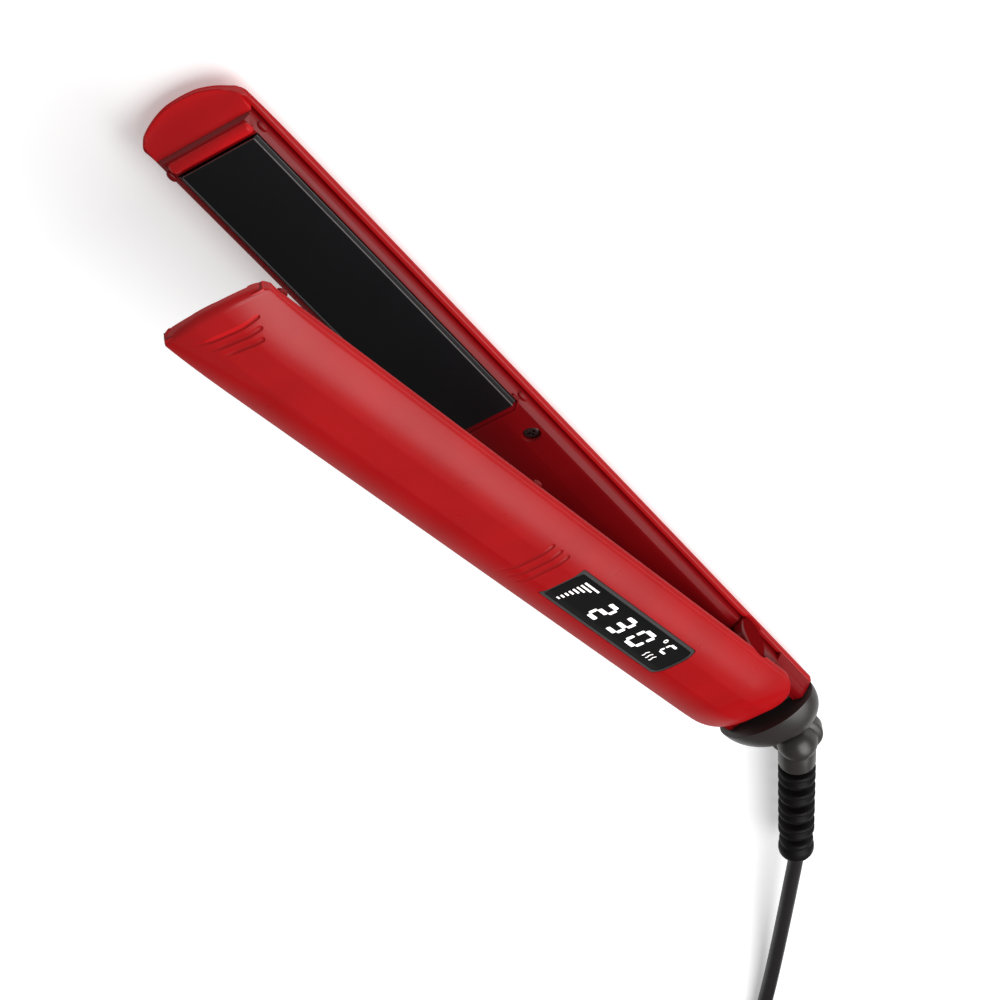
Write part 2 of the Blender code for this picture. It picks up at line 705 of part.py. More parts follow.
def build_cord(holder):
    """Lead that runs down to the table, then a ring for the whole coil, a tie and a flat two-pin plug."""
    centre = Vector((holder.location.x / MM, holder.location.y / MM, 0.0))
    along = Vector((math.cos(RELIEF_ANGLE), math.sin(RELIEF_ANGLE), 0.0))
    height = Vector((0.0, 0.0, BACK_DEPTH - RELIEF_DEPTH))
    leave = centre + along * (RELIEF_START + RELIEF_LENGTH + RELIEF_GAP) + height
    route = smooth_route([leave] + [Vector(p) for p in LEAD_ROUTE], 11.0)
    origin = Vector(holder.location)
    tube("cord_lead", [p * MM - origin for p in route], CORD_RADIUS, "black_rubber", holder, 2)

    low = CORD_REST - CORD_RADIUS
    step = low + COIL_OUTER_LEVELS * COIL_PITCH
    high = low + COIL_LEVELS * COIL_PITCH
    outer = COIL_OUTER_TURN + CORD_RADIUS + 0.1
    middle = outer - COIL_TURN_GAP
    inner = COIL_OUTER_TURN - 2 * COIL_TURN_GAP - CORD_RADIUS - 0.1
    profile = ((outer, low), (outer, step), (middle, step), (middle, high), (inner, high), (inner, low))
    bm = bmesh.new()
    rings = []
    for radius, z in profile:
        ring = []
        for i in range(48):
            a = 2 * math.pi * i / 48
            point = Vector((COIL_CENTRE[0] + radius * math.cos(a), COIL_CENTRE[1] + radius * math.sin(a), z))
            ring.append(bm.verts.new(point * MM - origin))
        rings.append(ring)
    for first, second in zip(rings, rings[1:] + rings[:1]):
        for i in range(48):
            j = (i + 1) % 48
            bm.faces.new((first[i], first[j], second[j], second[i]))
    finish_mesh("cord_coil", bm, "black_rubber", holder, 30.0)
    build_tie(holder, origin, (inner, middle, outer), (step, high))
    build_plug(holder, origin)


def build_tie(holder, origin, radii, heights):
    """Strap over the coil, open underneath, on the coil's -Y side."""
    gap = 0.35
    thick = 1.0
    half = 5.0
    near = math.sqrt(radii[0] ** 2 - half**2) - gap
    middle = radii[1] + gap
    far = radii[2] + gap
    step = heights[0] + gap
    high = heights[1] + gap
    outline = [(near - thick, 0.2), (near, 0.2), (near, high), (middle, high), (far, step), (far, 0.2)]
    outline += [(far + thick, 0.2), (far + thick, step + thick / 2), (middle + thick / 2, high + thick)]
    outline.append((near - thick, high + thick))
    loops = []
    for y in (-half, half):
        loop = []
        for radius, z in outline:
            place = Vector((COIL_CENTRE[0] - y, COIL_CENTRE[1] - radius, z))
            loop.append(place * MM - origin)
        loops.append(loop)
    finish_mesh("cord_tie", loft(loops), "black_rubber", holder)


def build_plug(holder, origin):
    """Flat plug that lies beside the coil with its pins pointing along +Y."""
    loops = []
    shape = ((0.0, 3.6, 3.4), (12.0, 5.2, 5.0), (16.0, 10.5, 5.8), (24.0, 16.0, 6.6), (33.0, 17.4, 6.8), (42.0, 17.0, 6.8))
    for along, half, thick in shape:
        loop = []
        for i in range(24):
            a = 2 * math.pi * i / 24
            c, s = math.cos(a), math.sin(a)
            x = half * math.copysign(abs(c) ** 0.6, c)
            z = thick * math.copysign(abs(s) ** 0.6, s)
            place = Vector((PLUG_X + x, PLUG_START + along, PLUG_AXIS + z))
            loop.append(place * MM - origin)
        loops.append(loop)
    finish_mesh("plug_body", loft(loops), "black_plastic", holder, 40.0)
    for word, side in (("left", -1), ("right", 1)):
        loops = []
        for along, radius in ((42.3, 2.0), (60.4, 2.0), (61.3, 1.2)):
            loop = []
            for i in range(16):
                a = 2 * math.pi * i / 16
                x = PLUG_X + side * 9.3 + radius * math.cos(a)
                place = Vector((x, PLUG_START + along, PLUG_AXIS + radius * math.sin(a)))
                loop.append(place * MM - origin)
            loops.append(loop)
        finish_mesh(f"plug_pin_{word}", loft(loops), "steel", holder, 30.0)


def build():
    clear_scene()
    make_materials()
    lower = Arm("lower_arm_space", -1, 0.0)
    upper = Arm("upper_arm_hinge", 1, OPEN_ANGLE)

    build_cover(lower, "lower_cover", crown_depth, None)
    build_lower_frame(lower)
    build_screws(lower, "lower")
    build_plate(lower, "lower")
    build_plate_support(lower, "lower")
    build_wiring(lower)
    build_hinge(lower)
    build_swivel_housing(lower)

    cover = build_cover(upper, "upper_cover", tongue_depth, TONGUE_END)
    window = (WINDOW_START - 0.3, WINDOW_END + 0.3)
    across = (-WINDOW_HALF - 0.3, WINDOW_HALF + 0.3)
    cut(cover, upper.box("window", window, across, (6.0, 20.0), "red_gloss"))
    build_upper_frame(upper)
    build_screws(upper, "upper")
    plate = build_plate(upper, "upper")
    plate.box("temperature_sensor", (122.0, 127.0), (-2.0, 2.0), (2.6, 4.2), "ceramic_white")
    build_plate_support(upper, "upper")
    build_display(upper)
    build_controls(upper)

    place = ((SWIVEL_STATION - ORIGIN_STATION) * MM, 0.0, BACK_DEPTH * MM)
    swivel = empty("cord_swivel_axis", place)
    build_swivel(swivel)
    build_cord(swivel)


build()
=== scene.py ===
"""Looks of the hair straightener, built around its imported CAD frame.

Inside an arm a point is (station, y, depth) in millimetres, as in the CAD source: the station runs
from the tip along the arm, and the depth grows from the plane where the arms meet to the arm's back.
"""
import json
import math

import bmesh
import bpy
from mathutils import Matrix, Vector


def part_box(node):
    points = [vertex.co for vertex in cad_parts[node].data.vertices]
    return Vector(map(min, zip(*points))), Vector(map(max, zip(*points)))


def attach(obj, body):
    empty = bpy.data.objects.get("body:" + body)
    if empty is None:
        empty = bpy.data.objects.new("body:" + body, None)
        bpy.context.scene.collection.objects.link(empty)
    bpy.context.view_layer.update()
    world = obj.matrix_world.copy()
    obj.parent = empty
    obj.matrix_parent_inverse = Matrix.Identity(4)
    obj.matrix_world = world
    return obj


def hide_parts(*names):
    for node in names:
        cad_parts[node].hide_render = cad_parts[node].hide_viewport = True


MM = 0.001
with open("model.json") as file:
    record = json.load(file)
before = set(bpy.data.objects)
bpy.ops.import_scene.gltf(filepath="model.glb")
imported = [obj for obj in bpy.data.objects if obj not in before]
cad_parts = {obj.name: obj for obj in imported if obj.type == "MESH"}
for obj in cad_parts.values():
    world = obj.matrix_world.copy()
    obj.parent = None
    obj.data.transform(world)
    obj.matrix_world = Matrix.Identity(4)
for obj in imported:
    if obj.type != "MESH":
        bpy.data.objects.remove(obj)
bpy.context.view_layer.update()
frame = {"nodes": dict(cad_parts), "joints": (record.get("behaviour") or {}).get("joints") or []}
JOINTS = {joint["name"]: joint for joint in frame["joints"]}

# Places read from the frame
HINGE = Vector(JOINTS["arm_hinge"]["pos_m"])
OPEN_ANGLE = math.radians(JOINTS["arm_hinge"]["range_deg"][1])
SWIVEL = Vector(JOINTS["cord_swivel_turn"]["pos_m"])
TIP_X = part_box("lower_cover")[0].x
PIVOT = (HINGE.x - TIP_X) / MM
SWIVEL_STATION = (SWIVEL.x - TIP_X) / MM
BACK_DEPTH = HINGE.z / MM

# Covers
HALF_WIDTH = 15.9
RIM_DEPTH = 5.26
CROWN_RADIUS = 25.8
CROWN_TOP = 13.34
WALL = 1.5
TIP_SAG = 5.0
TIP_SAG_REACH = 24.0
TIP_CORNER = 3.0
TIP_LENGTH = 34.0
TIP_FLATTEN = 0.42
LOWER_END = 289.5
TONGUE_END = 282.8
TONGUE_CORNER = 12.0
TONGUE_ROLL = 22.0
COLUMNS = 32  # across each half of a cover
LIP_ROUND = 2.0  # of the crown's roll down to the lip
LIP_THICK = 2.6
LIP_STRETCH = 9.0  # in which the side walls' edges climb from the lip to their full height
LOWER_LIP_REACH = 1.5  # by which the lower arm's lip is longer
LIP_SHIFT_LENGTH = 14.0  # in which a longer lip blends into the cover
RIM_ROUND = 0.35
SHADE_ANGLE = 40.0

# Grip grooves, each from its faded end to its crisp end, as (station, y)
GROOVE_RADIUS = 1.1
GROOVE_DEEP = 0.62
TIP_GROOVES = (
    ((6.7, -12.2), (8.8, 9.0)),
    ((10.0, -9.8), (12.1, 7.4)),
    ((13.5, -7.0), (15.3, 5.6)),
)
HANDLE_GROOVES = (
    ((149.8, -11.2), (149.8, 7.4)),
    ((153.9, -11.2), (153.9, 7.4)),
    ((157.7, -11.2), (157.7, 7.4)),
)

# Plates and inner frames
PLATE_START = 15.0
PLATE_LENGTH = 119.0
PLATE_HALF = 12.0
PLATE_FACE = 0.25
FRAME_HALF = 14.1
FRAME_FLAT = 12.2
FACE_DEPTH = 1.45
PANEL_BACK = 3.0
RIDGE_MIDDLE = 11.9
RIDGE_HALF = 2.1
RIDGE_AXIS = 2.2  # depth of the bar's centre line
RIDGE_FOOT = 3.2
SCOOP_START = 0.3
SCOOP_END = 9.1
SCOOP_DEPTH = 3.2
UPPER_FRAME_END = 249.0
FRAME_HOLLOW = 12.4
FRAME_EDGE = 0.16  # rounding of the frames' sharp edges
SCREW_STATION = 147.6
SCREW_Y = 8.5

# Hinge
PIN_RADIUS = 2.0
LUG_RADIUS = 4.6
CAP_RADIUS = 6.4
CAP_INNER = 12.4
CAP_OUTER = 15.6

# Display window and buttons
WINDOW = (166.6, 229.6)
WINDOW_HALF = 7.6
WINDOW_BOW = 0.9
BEZEL = 1.0
BEZEL_GAP = 0.18
BUTTONS = (("power_button", 176.0), ("minus_button", 192.0), ("plus_button", 208.0))
BUTTON_RADIUS = 2.8
BUTTON_TOP = 0.95
MARK_HALF = 0.17

# Swivel
DOME_CENTRE = (289.5, 4.0)
DOME_RADIUS = 15.9
DOME_SEMI_HEIGHT = 8.5
HEAD_RADIUS = 8.1
HEAD_BALL = 6.2
HEAD_BOTTOM = 8.8
LIP_RADIUS = 7.0
LIP_BOTTOM = 12.5
SCREW_RADIUS = 1.5
OUTLET_END = 9.3
RELIEF_ANGLE = math.radians(-30.3)
RELIEF_RADIUS = 5.73
RELIEF_START = 9.6
RELIEF_LENGTH = 43.7
RELIEF_DEPTH = 3.0

# Cord and plug
CORD_RADIUS = 2.45
CORD_REST = 2.6
COIL_CENTRE = Vector((319.5, -79.8, 0.0))
COIL_RADII = {"outer": 33.2, "middle": 28.0, "inner": 22.8}
COIL_PITCH = 5.1
COIL_ENTRY = math.radians(-128.0)
COIL_END = math.radians(0.0)
LEAD_ROUTE = (
    (198.6, -29.2, 9.8),
    (208.4, -36.4, 9.3),
    (221.5, -45.9, 8.1),
    (240.2, -59.4, 5.9),
    (258.9, -73.3, 4.0),
    (274.7, -85.7, 2.8),
    (283.2, -92.9, CORD_REST),
)


# Camera, floor and light

CAMERA_PLACE = Vector((-0.6805, 0.3744, 0.7311 + HINGE.z))
CAMERA_RIGHT = Vector((0.5451, 0.8356, 0.0683))
CAMERA_UP = Vector((-0.5449, 0.4149, -0.7287))
CAMERA_LENS = 139.9
FLOOR_REACH = 12.0
FLOOR_DROP = 0.0003
FLOOR_GLOW = 0.34
STUDIO_GLOW = 0.22


def set_inputs(node, **values):
    """Sets a node's inputs, named with underscores for spaces."""
    for name, value in values.items():
        node.inputs[name.replace("_", " ")].default_value = value


def add_object(name, data):
    thing = bpy.data.objects.new(name, data)
    bpy.context.scene.collection.objects.link(thing)
    return thing


def make_camera():
    """Looks from the tips' end and above, with the tool's up side towards the picture's bottom."""
    back = CAMERA_RIGHT.cross(CAMERA_UP)
    data = bpy.data.cameras.new("camera")
    data.lens = CAMERA_LENS
    data.sensor_width = 36.0
    data.clip_start = 0.05
    data.clip_end = 50.0
    camera = add_object("camera", data)
    turn = Matrix((CAMERA_RIGHT, CAMERA_UP, back)).transposed().to_4x4()
    camera.matrix_world = Matrix.Translation(CAMERA_PLACE) @ turn
    bpy.context.scene.camera = camera


def area_light(name, location, target, size, power):
    data = bpy.data.lights.new(name, "AREA")
    data.shape = "RECTANGLE"
    data.size, data.size_y = size
    data.energy = power
    light = add_object(name, data)
    light.location = location
    light.rotation_euler = (Vector(target) - Vector(location)).to_track_quat("-Z", "Y").to_euler()


def make_floor():
    """Pale floor that glows a little, so that the tool's shadow stays faint."""
    floor_mesh = bpy.data.meshes.new("floor")
    signs = ((-1, -1), (1, -1), (1, 1), (-1, 1))
    floor_mesh.from_pydata([(FLOOR_REACH * x, FLOOR_REACH * y, 0.0) for x, y in signs], [], [(0, 1, 2, 3)])
    floor = add_object("floor", floor_mesh)
    floor.location.z = -FLOOR_DROP
    material = new_material("floor_pale")
    shader = material.node_tree.nodes["Principled BSDF"]
    set_inputs(shader, Base_Color=(0.9, 0.9, 0.9, 1.0), Roughness=0.8, Specular_IOR_Level=0.1)
    set_inputs(shader, Emission_Color=(1.0, 1.0, 1.0, 1.0), Emission_Strength=FLOOR_GLOW)
    floor_mesh.materials.append(material)


def make_light():
    world = bpy.data.worlds.new("studio")
    bpy.context.scene.world = world
    world.use_nodes = True
    set_inputs(world.node_tree.nodes["Background"], Color=(1.0, 1.0, 1.0, 1.0), Strength=STUDIO_GLOW)
    area_light("overhead", (0.4, 1.1, 2.0), (0.05, 0.0, 0.0), (2.0, 2.0), 46.0)
    area_light("rear", (1.35, 0.5, 1.2), (0.0, 0.0, 0.03), (1.0, 1.2), 11.0)
    bpy.context.scene.view_settings.view_transform = "Standard"


# Materials


def new_material(name):
    material = bpy.data.materials.new(name)
    material.use_nodes = True
    return material


def surface(name, colour, roughness, metallic=0.0, grain=(0.0, 900.0), wear=0.0, specular=0.5,
            edge_specular=1.0):
    """Principled material with an uneven colour and roughness and a fine bumpy grain.

    The specular level falls to the share edge_specular where the surface is seen at a shallow angle.
    """
    material = new_material(name)
    tree = material.node_tree
    shader = tree.nodes["Principled BSDF"]
    set_inputs(shader, Metallic=metallic)
    place = tree.nodes.new("ShaderNodeTexCoord")

    def noise(scale, detail):
        node = tree.nodes.new("ShaderNodeTexNoise")
        set_inputs(node, Scale=scale, Detail=detail)
        tree.links.new(place.outputs["Object"], node.inputs["Vector"])
        return node.outputs["Fac"]

    def spread(value, low, high, target):
        node = tree.nodes.new("ShaderNodeMapRange")
        set_inputs(node, To_Min=low, To_Max=high)
        tree.links.new(value, node.inputs["Value"])
        tree.links.new(node.outputs["Result"], shader.inputs[target])
        return node

    facing = tree.nodes.new("ShaderNodeLayerWeight")
    set_inputs(facing, Blend=0.5)
    fade = spread(facing.outputs["Facing"], specular, specular * edge_specular, "Specular IOR Level")
    set_inputs(fade, From_Min=0.2, From_Max=0.55)

    ramp = tree.nodes.new("ShaderNodeValToRGB")
    for element, position, share in zip(ramp.color_ramp.elements, (0.35, 0.65), (0.88, 1.0)):
        element.position = position
        element.color = (*(share * c for c in colour), 1.0)
    tree.links.new(noise(38.0, 3.0), ramp.inputs["Fac"])
    tree.links.new(ramp.outputs["Color"], shader.inputs["Base Color"])

    uneven = 0.15 + wear
    spread(noise(120.0, 4.0), roughness * (1.0 - uneven), roughness * (1.0 + uneven), "Roughness")

    if grain[0] > 0.0:
        bump = tree.nodes.new("ShaderNodeBump")
        set_inputs(bump, Strength=grain[0], Distance=0.0004)
        tree.links.new(noise(grain[1], 2.0), bump.inputs["Height"])
        tree.links.new(bump.outputs["Normal"], shader.inputs["Normal"])
    return material


# Colour, roughness and the other words of each material
LOOKS = {
    "red_lacquer": ((0.43, 0.006, 0.008), 0.29, dict(specular=0.36, edge_specular=0.02)),
    # painted shade: a darker copy of the covers' red lacquer for the hinge caps, standing in for the shade
    # on them
    "red_cap_painted_shade": ((0.15, 0.003, 0.004), 0.25, dict(specular=0.5, edge_specular=0.0)),
    # painted light: a brighter red than the frame's and the covers' for the scoop and the ridge, standing
    # in for the light on the scoop and the highlight along the ridge
    "red_painted_light": ((0.6, 0.008, 0.011), 0.3, dict(specular=0.3, edge_specular=0.1)),
    "red_inner": ((0.22, 0.003, 0.005), 0.3, dict(specular=0.2, edge_specular=0.1)),
    "plate_black": (
        (0.006, 0.006, 0.007), 0.38, dict(grain=(0.03, 2600.0), specular=0.22, edge_specular=0.5),
    ),
    # painted highlight: grey for the thin strips along the plates' edges, standing in for the highlights on
    # these edges
    "edge_highlight_grey": ((0.30, 0.28, 0.28), 0.4, dict(metallic=0.5)),
    "display_black": ((0.003, 0.003, 0.003), 0.12, dict(specular=0.3, edge_specular=0.5)),
    "bezel_black": ((0.03, 0.027, 0.027), 0.42, dict(specular=0.6, edge_specular=0.5)),
    "black_plastic": (
        (0.026, 0.021, 0.02), 0.36, dict(grain=(0.04, 2200.0), specular=0.6, edge_specular=0.4),
    ),
    "black_rubber": (
        (0.005, 0.004, 0.004), 0.5, dict(grain=(0.06, 1800.0), wear=0.1, specular=0.14, edge_specular=0.4),
    ),
    "cord_black": (
        (0.014, 0.012, 0.012), 0.45, dict(grain=(0.05, 1800.0), specular=0.35, edge_specular=0.5),
    ),
    "steel": ((0.5, 0.5, 0.51), 0.3, dict(metallic=1.0, grain=(0.06, 1500.0))),
    "screw_dark": ((0.10, 0.07, 0.07), 0.35, dict(metallic=0.9, grain=(0.06, 1500.0))),
    "ceramic_white": ((0.7, 0.68, 0.62), 0.6, dict(grain=(0.1, 1500.0))),
    "board_green": ((0.015, 0.11, 0.04), 0.45, dict(grain=(0.05, 1500.0))),
    "nylon": ((0.03, 0.03, 0.032), 0.55, dict(grain=(0.1, 1600.0))),
    "mark_grey": ((0.35, 0.35, 0.36), 0.5, {}),
    "glow_white": ((1.0, 0.96, 0.95), 0.4, {}),
}
GLOW_STRENGTH = 0.95
MATERIALS = {}


def make_materials():
    for name, (colour, roughness, words) in LOOKS.items():
        MATERIALS[name] = surface(name, colour, roughness, **words)
    shader = MATERIALS["glow_white"].node_tree.nodes["Principled BSDF"]
    colour = LOOKS["glow_white"][0]
    set_inputs(shader, Emission_Color=(*colour, 1.0), Emission_Strength=GLOW_STRENGTH)


# Material of each CAD node that stays visible, by a word in its name; the others are steel
NODE_MATERIAL = {
    "cover": "red_lacquer",
    "cap": "red_lacquer",
    "frame": "red_inner",
    "heat_plate": "plate_black",
    "tray": "nylon",
    "terminal": "nylon",
    "lens": "display_black",
    "module": "black_plastic",
    "housing": "black_plastic",
    "head": "black_plastic",
    "plug_body": "black_plastic",
    "button_pad": "black_rubber",
    "button": "black_plastic",
    "relief": "black_rubber",
    "lead": "black_rubber",
    "coil": "black_rubber",
    "tie": "black_rubber",
    "board": "board_green",
    "ptc": "ceramic_white",
    "sensor": "ceramic_white",
}


def dress_frame_nodes():
    """Gives each CAD node that stays visible its material."""
    for name, node in frame["nodes"].items():
        chosen = [material for word, material in NODE_MATERIAL.items() if word in name]
        node.data.materials.clear()
        node.data.materials.append(MATERIALS[(chosen + ["steel"])[0]])


# Mesh helpers


def smoothstep(t):
    t = min(1.0, max(0.0, t))
    return t * t * (3.0 - 2.0 * t)


def finish_mesh(name, bm, material, body, smooth_angle=SHADE_ANGLE, replaces=(), slot=None):
    """Makes a piece from a bmesh in the row frame, in metres."""
    bmesh.ops.remove_doubles(bm, verts=bm.verts, dist=1e-7)
    bmesh.ops.recalc_face_normals(bm, faces=bm.faces)
    mesh = bpy.data.meshes.new(name)
    bm.to_mesh(mesh)
    bm.free()
    shade(mesh, smooth_angle)
    mesh.materials.append(MATERIALS[material])
    piece = add_object(name, mesh)
    if body:
        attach(piece, body)
    if replaces:
        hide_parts(*replaces)
    return piece


def shade(mesh, smooth_angle):
    """Smooth shading, with sharp edges from the angle in degrees on."""
    mesh.shade_smooth()
    mesh.set_sharp_from_angle(angle=math.radians(smooth_angle))


def skin(bm, loops, strip_ends=False):
    """Adds a closed skin through loops of equal point counts."""
    rings = [[bm.verts.new(point) for point in loop] for loop in loops]
    for first, second in zip(rings, rings[1:]):
        for i in range(len(first)):
            j = (i + 1) % len(first)
            bm.faces.new((first[i], first[j], second[j], second[i]))
    for ring in (rings[0], rings[-1]):
        last = len(ring) - 1
        if strip_ends:
            for i in range(last // 2):
                bm.faces.new((ring[i], ring[i + 1], ring[last - i - 1], ring[last - i]))
        else:
            bm.faces.new(ring)


def loft(loops, strip_ends=False):
    bm = bmesh.new()
    skin(bm, loops, strip_ends)
    return bm


def circle(segments, phase=0.0):
    """Cosines and sines of evenly spaced angles."""
    angles = [2 * math.pi * (i + phase) / segments for i in range(segments)]
    return [(math.cos(a), math.sin(a)) for a in angles]


def combine(target, tool, operation):
    modifier = target.modifiers.new("combine", "BOOLEAN")
    modifier.operation = operation
    modifier.solver = "EXACT"
    modifier.object = tool
    apply_modifiers(target)
    bpy.data.objects.remove(tool, do_unlink=True)


def cut(target, tool):
    combine(target, tool, "DIFFERENCE")


def weld(target, tool):
    combine(target, tool, "UNION")


def apply_modifiers(target, smooth_angle=SHADE_ANGLE):
    bpy.context.view_layer.update()
    graph = bpy.context.evaluated_depsgraph_get()
    mesh = bpy.data.meshes.new_from_object(target.evaluated_get(graph))
    target.modifiers.clear()
    old = target.data
    target.data = mesh
    mesh.name = target.name
    bpy.data.meshes.remove(old)
    shade(mesh, smooth_angle)


def soften(target, width, segments=2, angle=30.0, smooth_angle=SHADE_ANGLE):
    """Rounds the piece's sharp edges."""
    modifier = target.modifiers.new("soften", "BEVEL")
    modifier.width = width * MM
    modifier.segments = segments
    modifier.limit_method = "ANGLE"
    modifier.angle_limit = math.radians(angle)
    apply_modifiers(target, smooth_angle)


class Arm:
    """One arm's own space, with the body that its pieces ride on."""

    def __init__(self, body, side, opening):
        self.body = body
        self.side = side
        self.matrix = Matrix.Translation(HINGE) @ Matrix.Rotation(opening, 4, "Y")

    def point(self, station, y, depth):
        return self.matrix @ Vector(((station - PIVOT) * MM, y * MM, self.side * depth * MM))

    def sections(self, name, loops, material, body=None, strip_ends=False, **words):
        """Lofts through loops of (station, y, depth) points. A cutter has no body."""
        placed = [[self.point(*p) for p in loop] for loop in loops]
        return finish_mesh(name, loft(placed, strip_ends), material, body, **words)

    def prism_x(self, name, outline, start, end, material, **words):
        loops = [[(s, y, d) for y, d in outline] for s in (start, end)]
        return self.sections(name, loops, material, **words)

    def prism_y(self, name, outline, start, end, material, **words):
        loops = [[(s, y, d) for s, d in outline] for y in (start, end)]
        return self.sections(name, loops, material, **words)

    def prism_depth(self, name, outline, start, end, material, **words):
        loops = [[(s, y, d) for s, y in outline] for d in (start, end)]
        return self.sections(name, loops, material, **words)

    def box(self, name, stations, ys, depths, material="red_inner", **words):
        outline = [(ys[0], depths[0]), (ys[1], depths[0]), (ys[1], depths[1]), (ys[0], depths[1])]
        return self.prism_x(name, outline, stations[0], stations[1], material, **words)

    def turned(self, name, axis, centre, profile, segments, material="red_inner", **words):
        """Turns a (distance along the axis, radius) profile about an axis through the centre."""
        loops = []
        for along, radius in profile:
            loop = []
            for c, s in circle(segments, 0.5):
                offset = {"y": (radius * c, along, radius * s), "z": (radius * c, radius * s, along)}[axis]
                loop.append([place + o for place, o in zip(centre, offset)])
            loops.append(loop)
        return self.sections(name, loops, material, **words)


def rod(length, radius, start):
    """Profile of a plain cylinder."""
    return [(start, radius), (start + length, radius)]


def rounded_outline(u_range, v_range, radius, steps=5):
    """Rounded rectangle as points in (u, v)."""
    points = []
    corners = (
        (u_range[1] - radius, v_range[1] - radius, 0),
        (u_range[0] + radius, v_range[1] - radius, 1),
        (u_range[0] + radius, v_range[0] + radius, 2),
        (u_range[1] - radius, v_range[0] + radius, 3),
    )
    for u, v, quarter in corners:
        for i in range(steps + 1):
            a = math.pi / 2 * (quarter + i / steps)
            points.append((u + radius * math.cos(a), v + radius * math.sin(a)))
    return points


# Covers


def crown_depth(y, station):
    """Depth of the cover's outside: a crown with a flat back, lower towards the tip."""
    arc = CROWN_TOP - CROWN_RADIUS + math.sqrt(CROWN_RADIUS**2 - y * y)
    full = min(arc, BACK_DEPTH)
    left = max(0.0, 1.0 - station / TIP_LENGTH)
    return RIM_DEPTH + (full - RIM_DEPTH) * (1.0 - TIP_FLATTEN * left**2)


def tongue_depth(y, station):
    """Depth of the upper cover's outside, which also rolls down at the rear."""
    into = max(0.0, station - (TONGUE_END - TONGUE_ROLL)) / (TONGUE_ROLL * 1.12)
    return RIM_DEPTH + (crown_depth(y, station) - RIM_DEPTH) * math.sqrt(1.0 - into**2)


def tip_bulge(y, station):
    shape = abs(y / HALF_WIDTH) ** 2.2
    return TIP_SAG * shape * max(0.0, 1.0 - max(0.0, station) / TIP_SAG_REACH) ** 2


def half_width(station, inset, rear_end):
    half = HALF_WIDTH - inset
    near_tip = max(0.0, TIP_CORNER - max(0.0, station))
    half -= TIP_CORNER - math.sqrt(TIP_CORNER**2 - near_tip**2)
    if rear_end:
        corner = TONGUE_CORNER - inset
        past = max(0.0, station - (rear_end - inset) + corner)
        half -= corner - math.sqrt(max(0.0, corner**2 - past**2))
    return half


def rim_depth(station, half):
    """Depth of the side wall's edge, which starts just inside the lip and climbs to the full height."""
    if station >= LIP_STRETCH:
        return RIM_DEPTH
    low = crown_depth(half, station) - LIP_THICK
    return low + (RIM_DEPTH - low) * smoothstep(0.12 + 0.88 * station / LIP_STRETCH)


def lip_drop(station):
    """How far the outside has rolled down at the lip."""
    left = max(0.0, LIP_ROUND - station)
    return LIP_ROUND - math.sqrt(LIP_ROUND**2 - left**2)


def lip_shift(station, reach):
    """How far a longer lip carries a point forward."""
    return reach * max(0.0, 1.0 - station / LIP_SHIFT_LENGTH) ** 2


def cover_section(station, depth_at, rear_end, lip_reach):
    """Closed section of the shell: over the outside one way and back along the inside."""
    drop = lip_drop(station)
    half = half_width(station, 0.0, rear_end) - 0.2 * drop
    inner_half = min(half_width(station, WALL, rear_end), half - 0.8)
    rim = rim_depth(station, half)
    outer = [(half - RIM_ROUND, rim), (half - 0.1, rim + 0.1), (half, rim + RIM_ROUND)]
    edge = depth_at(half, station) - drop
    outer.append((half, max(edge - 0.3, rim + RIM_ROUND + 0.02)))
    outer.append((half - 0.12, max(edge - 0.08, rim + RIM_ROUND + 0.04)))
    inner = [(inner_half + RIM_ROUND, rim), (inner_half + 0.1, rim + 0.1), (inner_half, rim + RIM_ROUND)]
    closing = smoothstep((station - (TONGUE_END - 3.0)) / 1.3) if rear_end else 0.0
    thickness = LIP_THICK + (1.15 * WALL - LIP_THICK) * smoothstep(station / LIP_STRETCH)

    def inside(y):
        depth = depth_at(y, station) - thickness
        depth = max(depth, rim + RIM_ROUND + 0.1)
        return depth + (RIM_DEPTH + 0.03 - depth) * closing

    inner.append((inner_half, inside(inner_half) - 0.05))
    inner.append((inner_half - 0.05, inside(inner_half)))
    crown_half = half - 0.4
    for i in range(COLUMNS, -1, -1):
        y = crown_half * i / COLUMNS
        outer.append((y, depth_at(y, station) - drop))
        y = (inner_half - 0.1) * i / COLUMNS
        inner.append((y, inside(y)))
    outer += [(-y, d) for y, d in outer[-2::-1]]
    inner += [(-y, d) for y, d in inner[-2::-1]]
    shift = lip_shift(station, lip_reach)
    return [(station + tip_bulge(y, station) - shift, y, depth) for y, depth in outer + inner[::-1]]


def cut_groove(arm, cover, first, last):
    """Canoe-shaped cut that rises out of the crown at its first end and stops round at its last."""
    loops = []
    steps = 28
    end_steps = 6
    for i in range(steps + end_steps + 1):
        t = min(1.0, i / steps)
        turn = math.pi / 2 * max(0, i - steps) / end_steps
        y = first[1] + (last[1] - first[1]) * t + GROOVE_RADIUS * math.sin(turn)
        station = first[0] + (last[0] - first[0]) * t
        radius = GROOVE_RADIUS * max(0.04, math.cos(turn))
        lift = GROOVE_RADIUS - GROOVE_DEEP * (smoothstep(t / 0.5) * 1.08 - 0.08)
        depth = crown_depth(min(y, last[1] + 0.5), station) + lift
        loops.append([(station + radius * c, y, depth + radius * s) for c, s in circle(28)])
    cut(cover, arm.sections("groove", loops, "red_lacquer"))


def spaced(start, end, step):
    """Evenly spaced values from the start up to, but without, the end."""
    count = max(1, round((end - start) / step))
    return [start + (end - start) * i / count for i in range(count)]


def cut_cap_notches(arm, piece):
    """Makes room for the hinge caps at both sides."""
    for side in (-1, 1):
        cut(piece, arm.turned("notch", "y", (PIVOT, side * 16.5, 0.0), rod(8.8, 6.8, -4.4), 64))


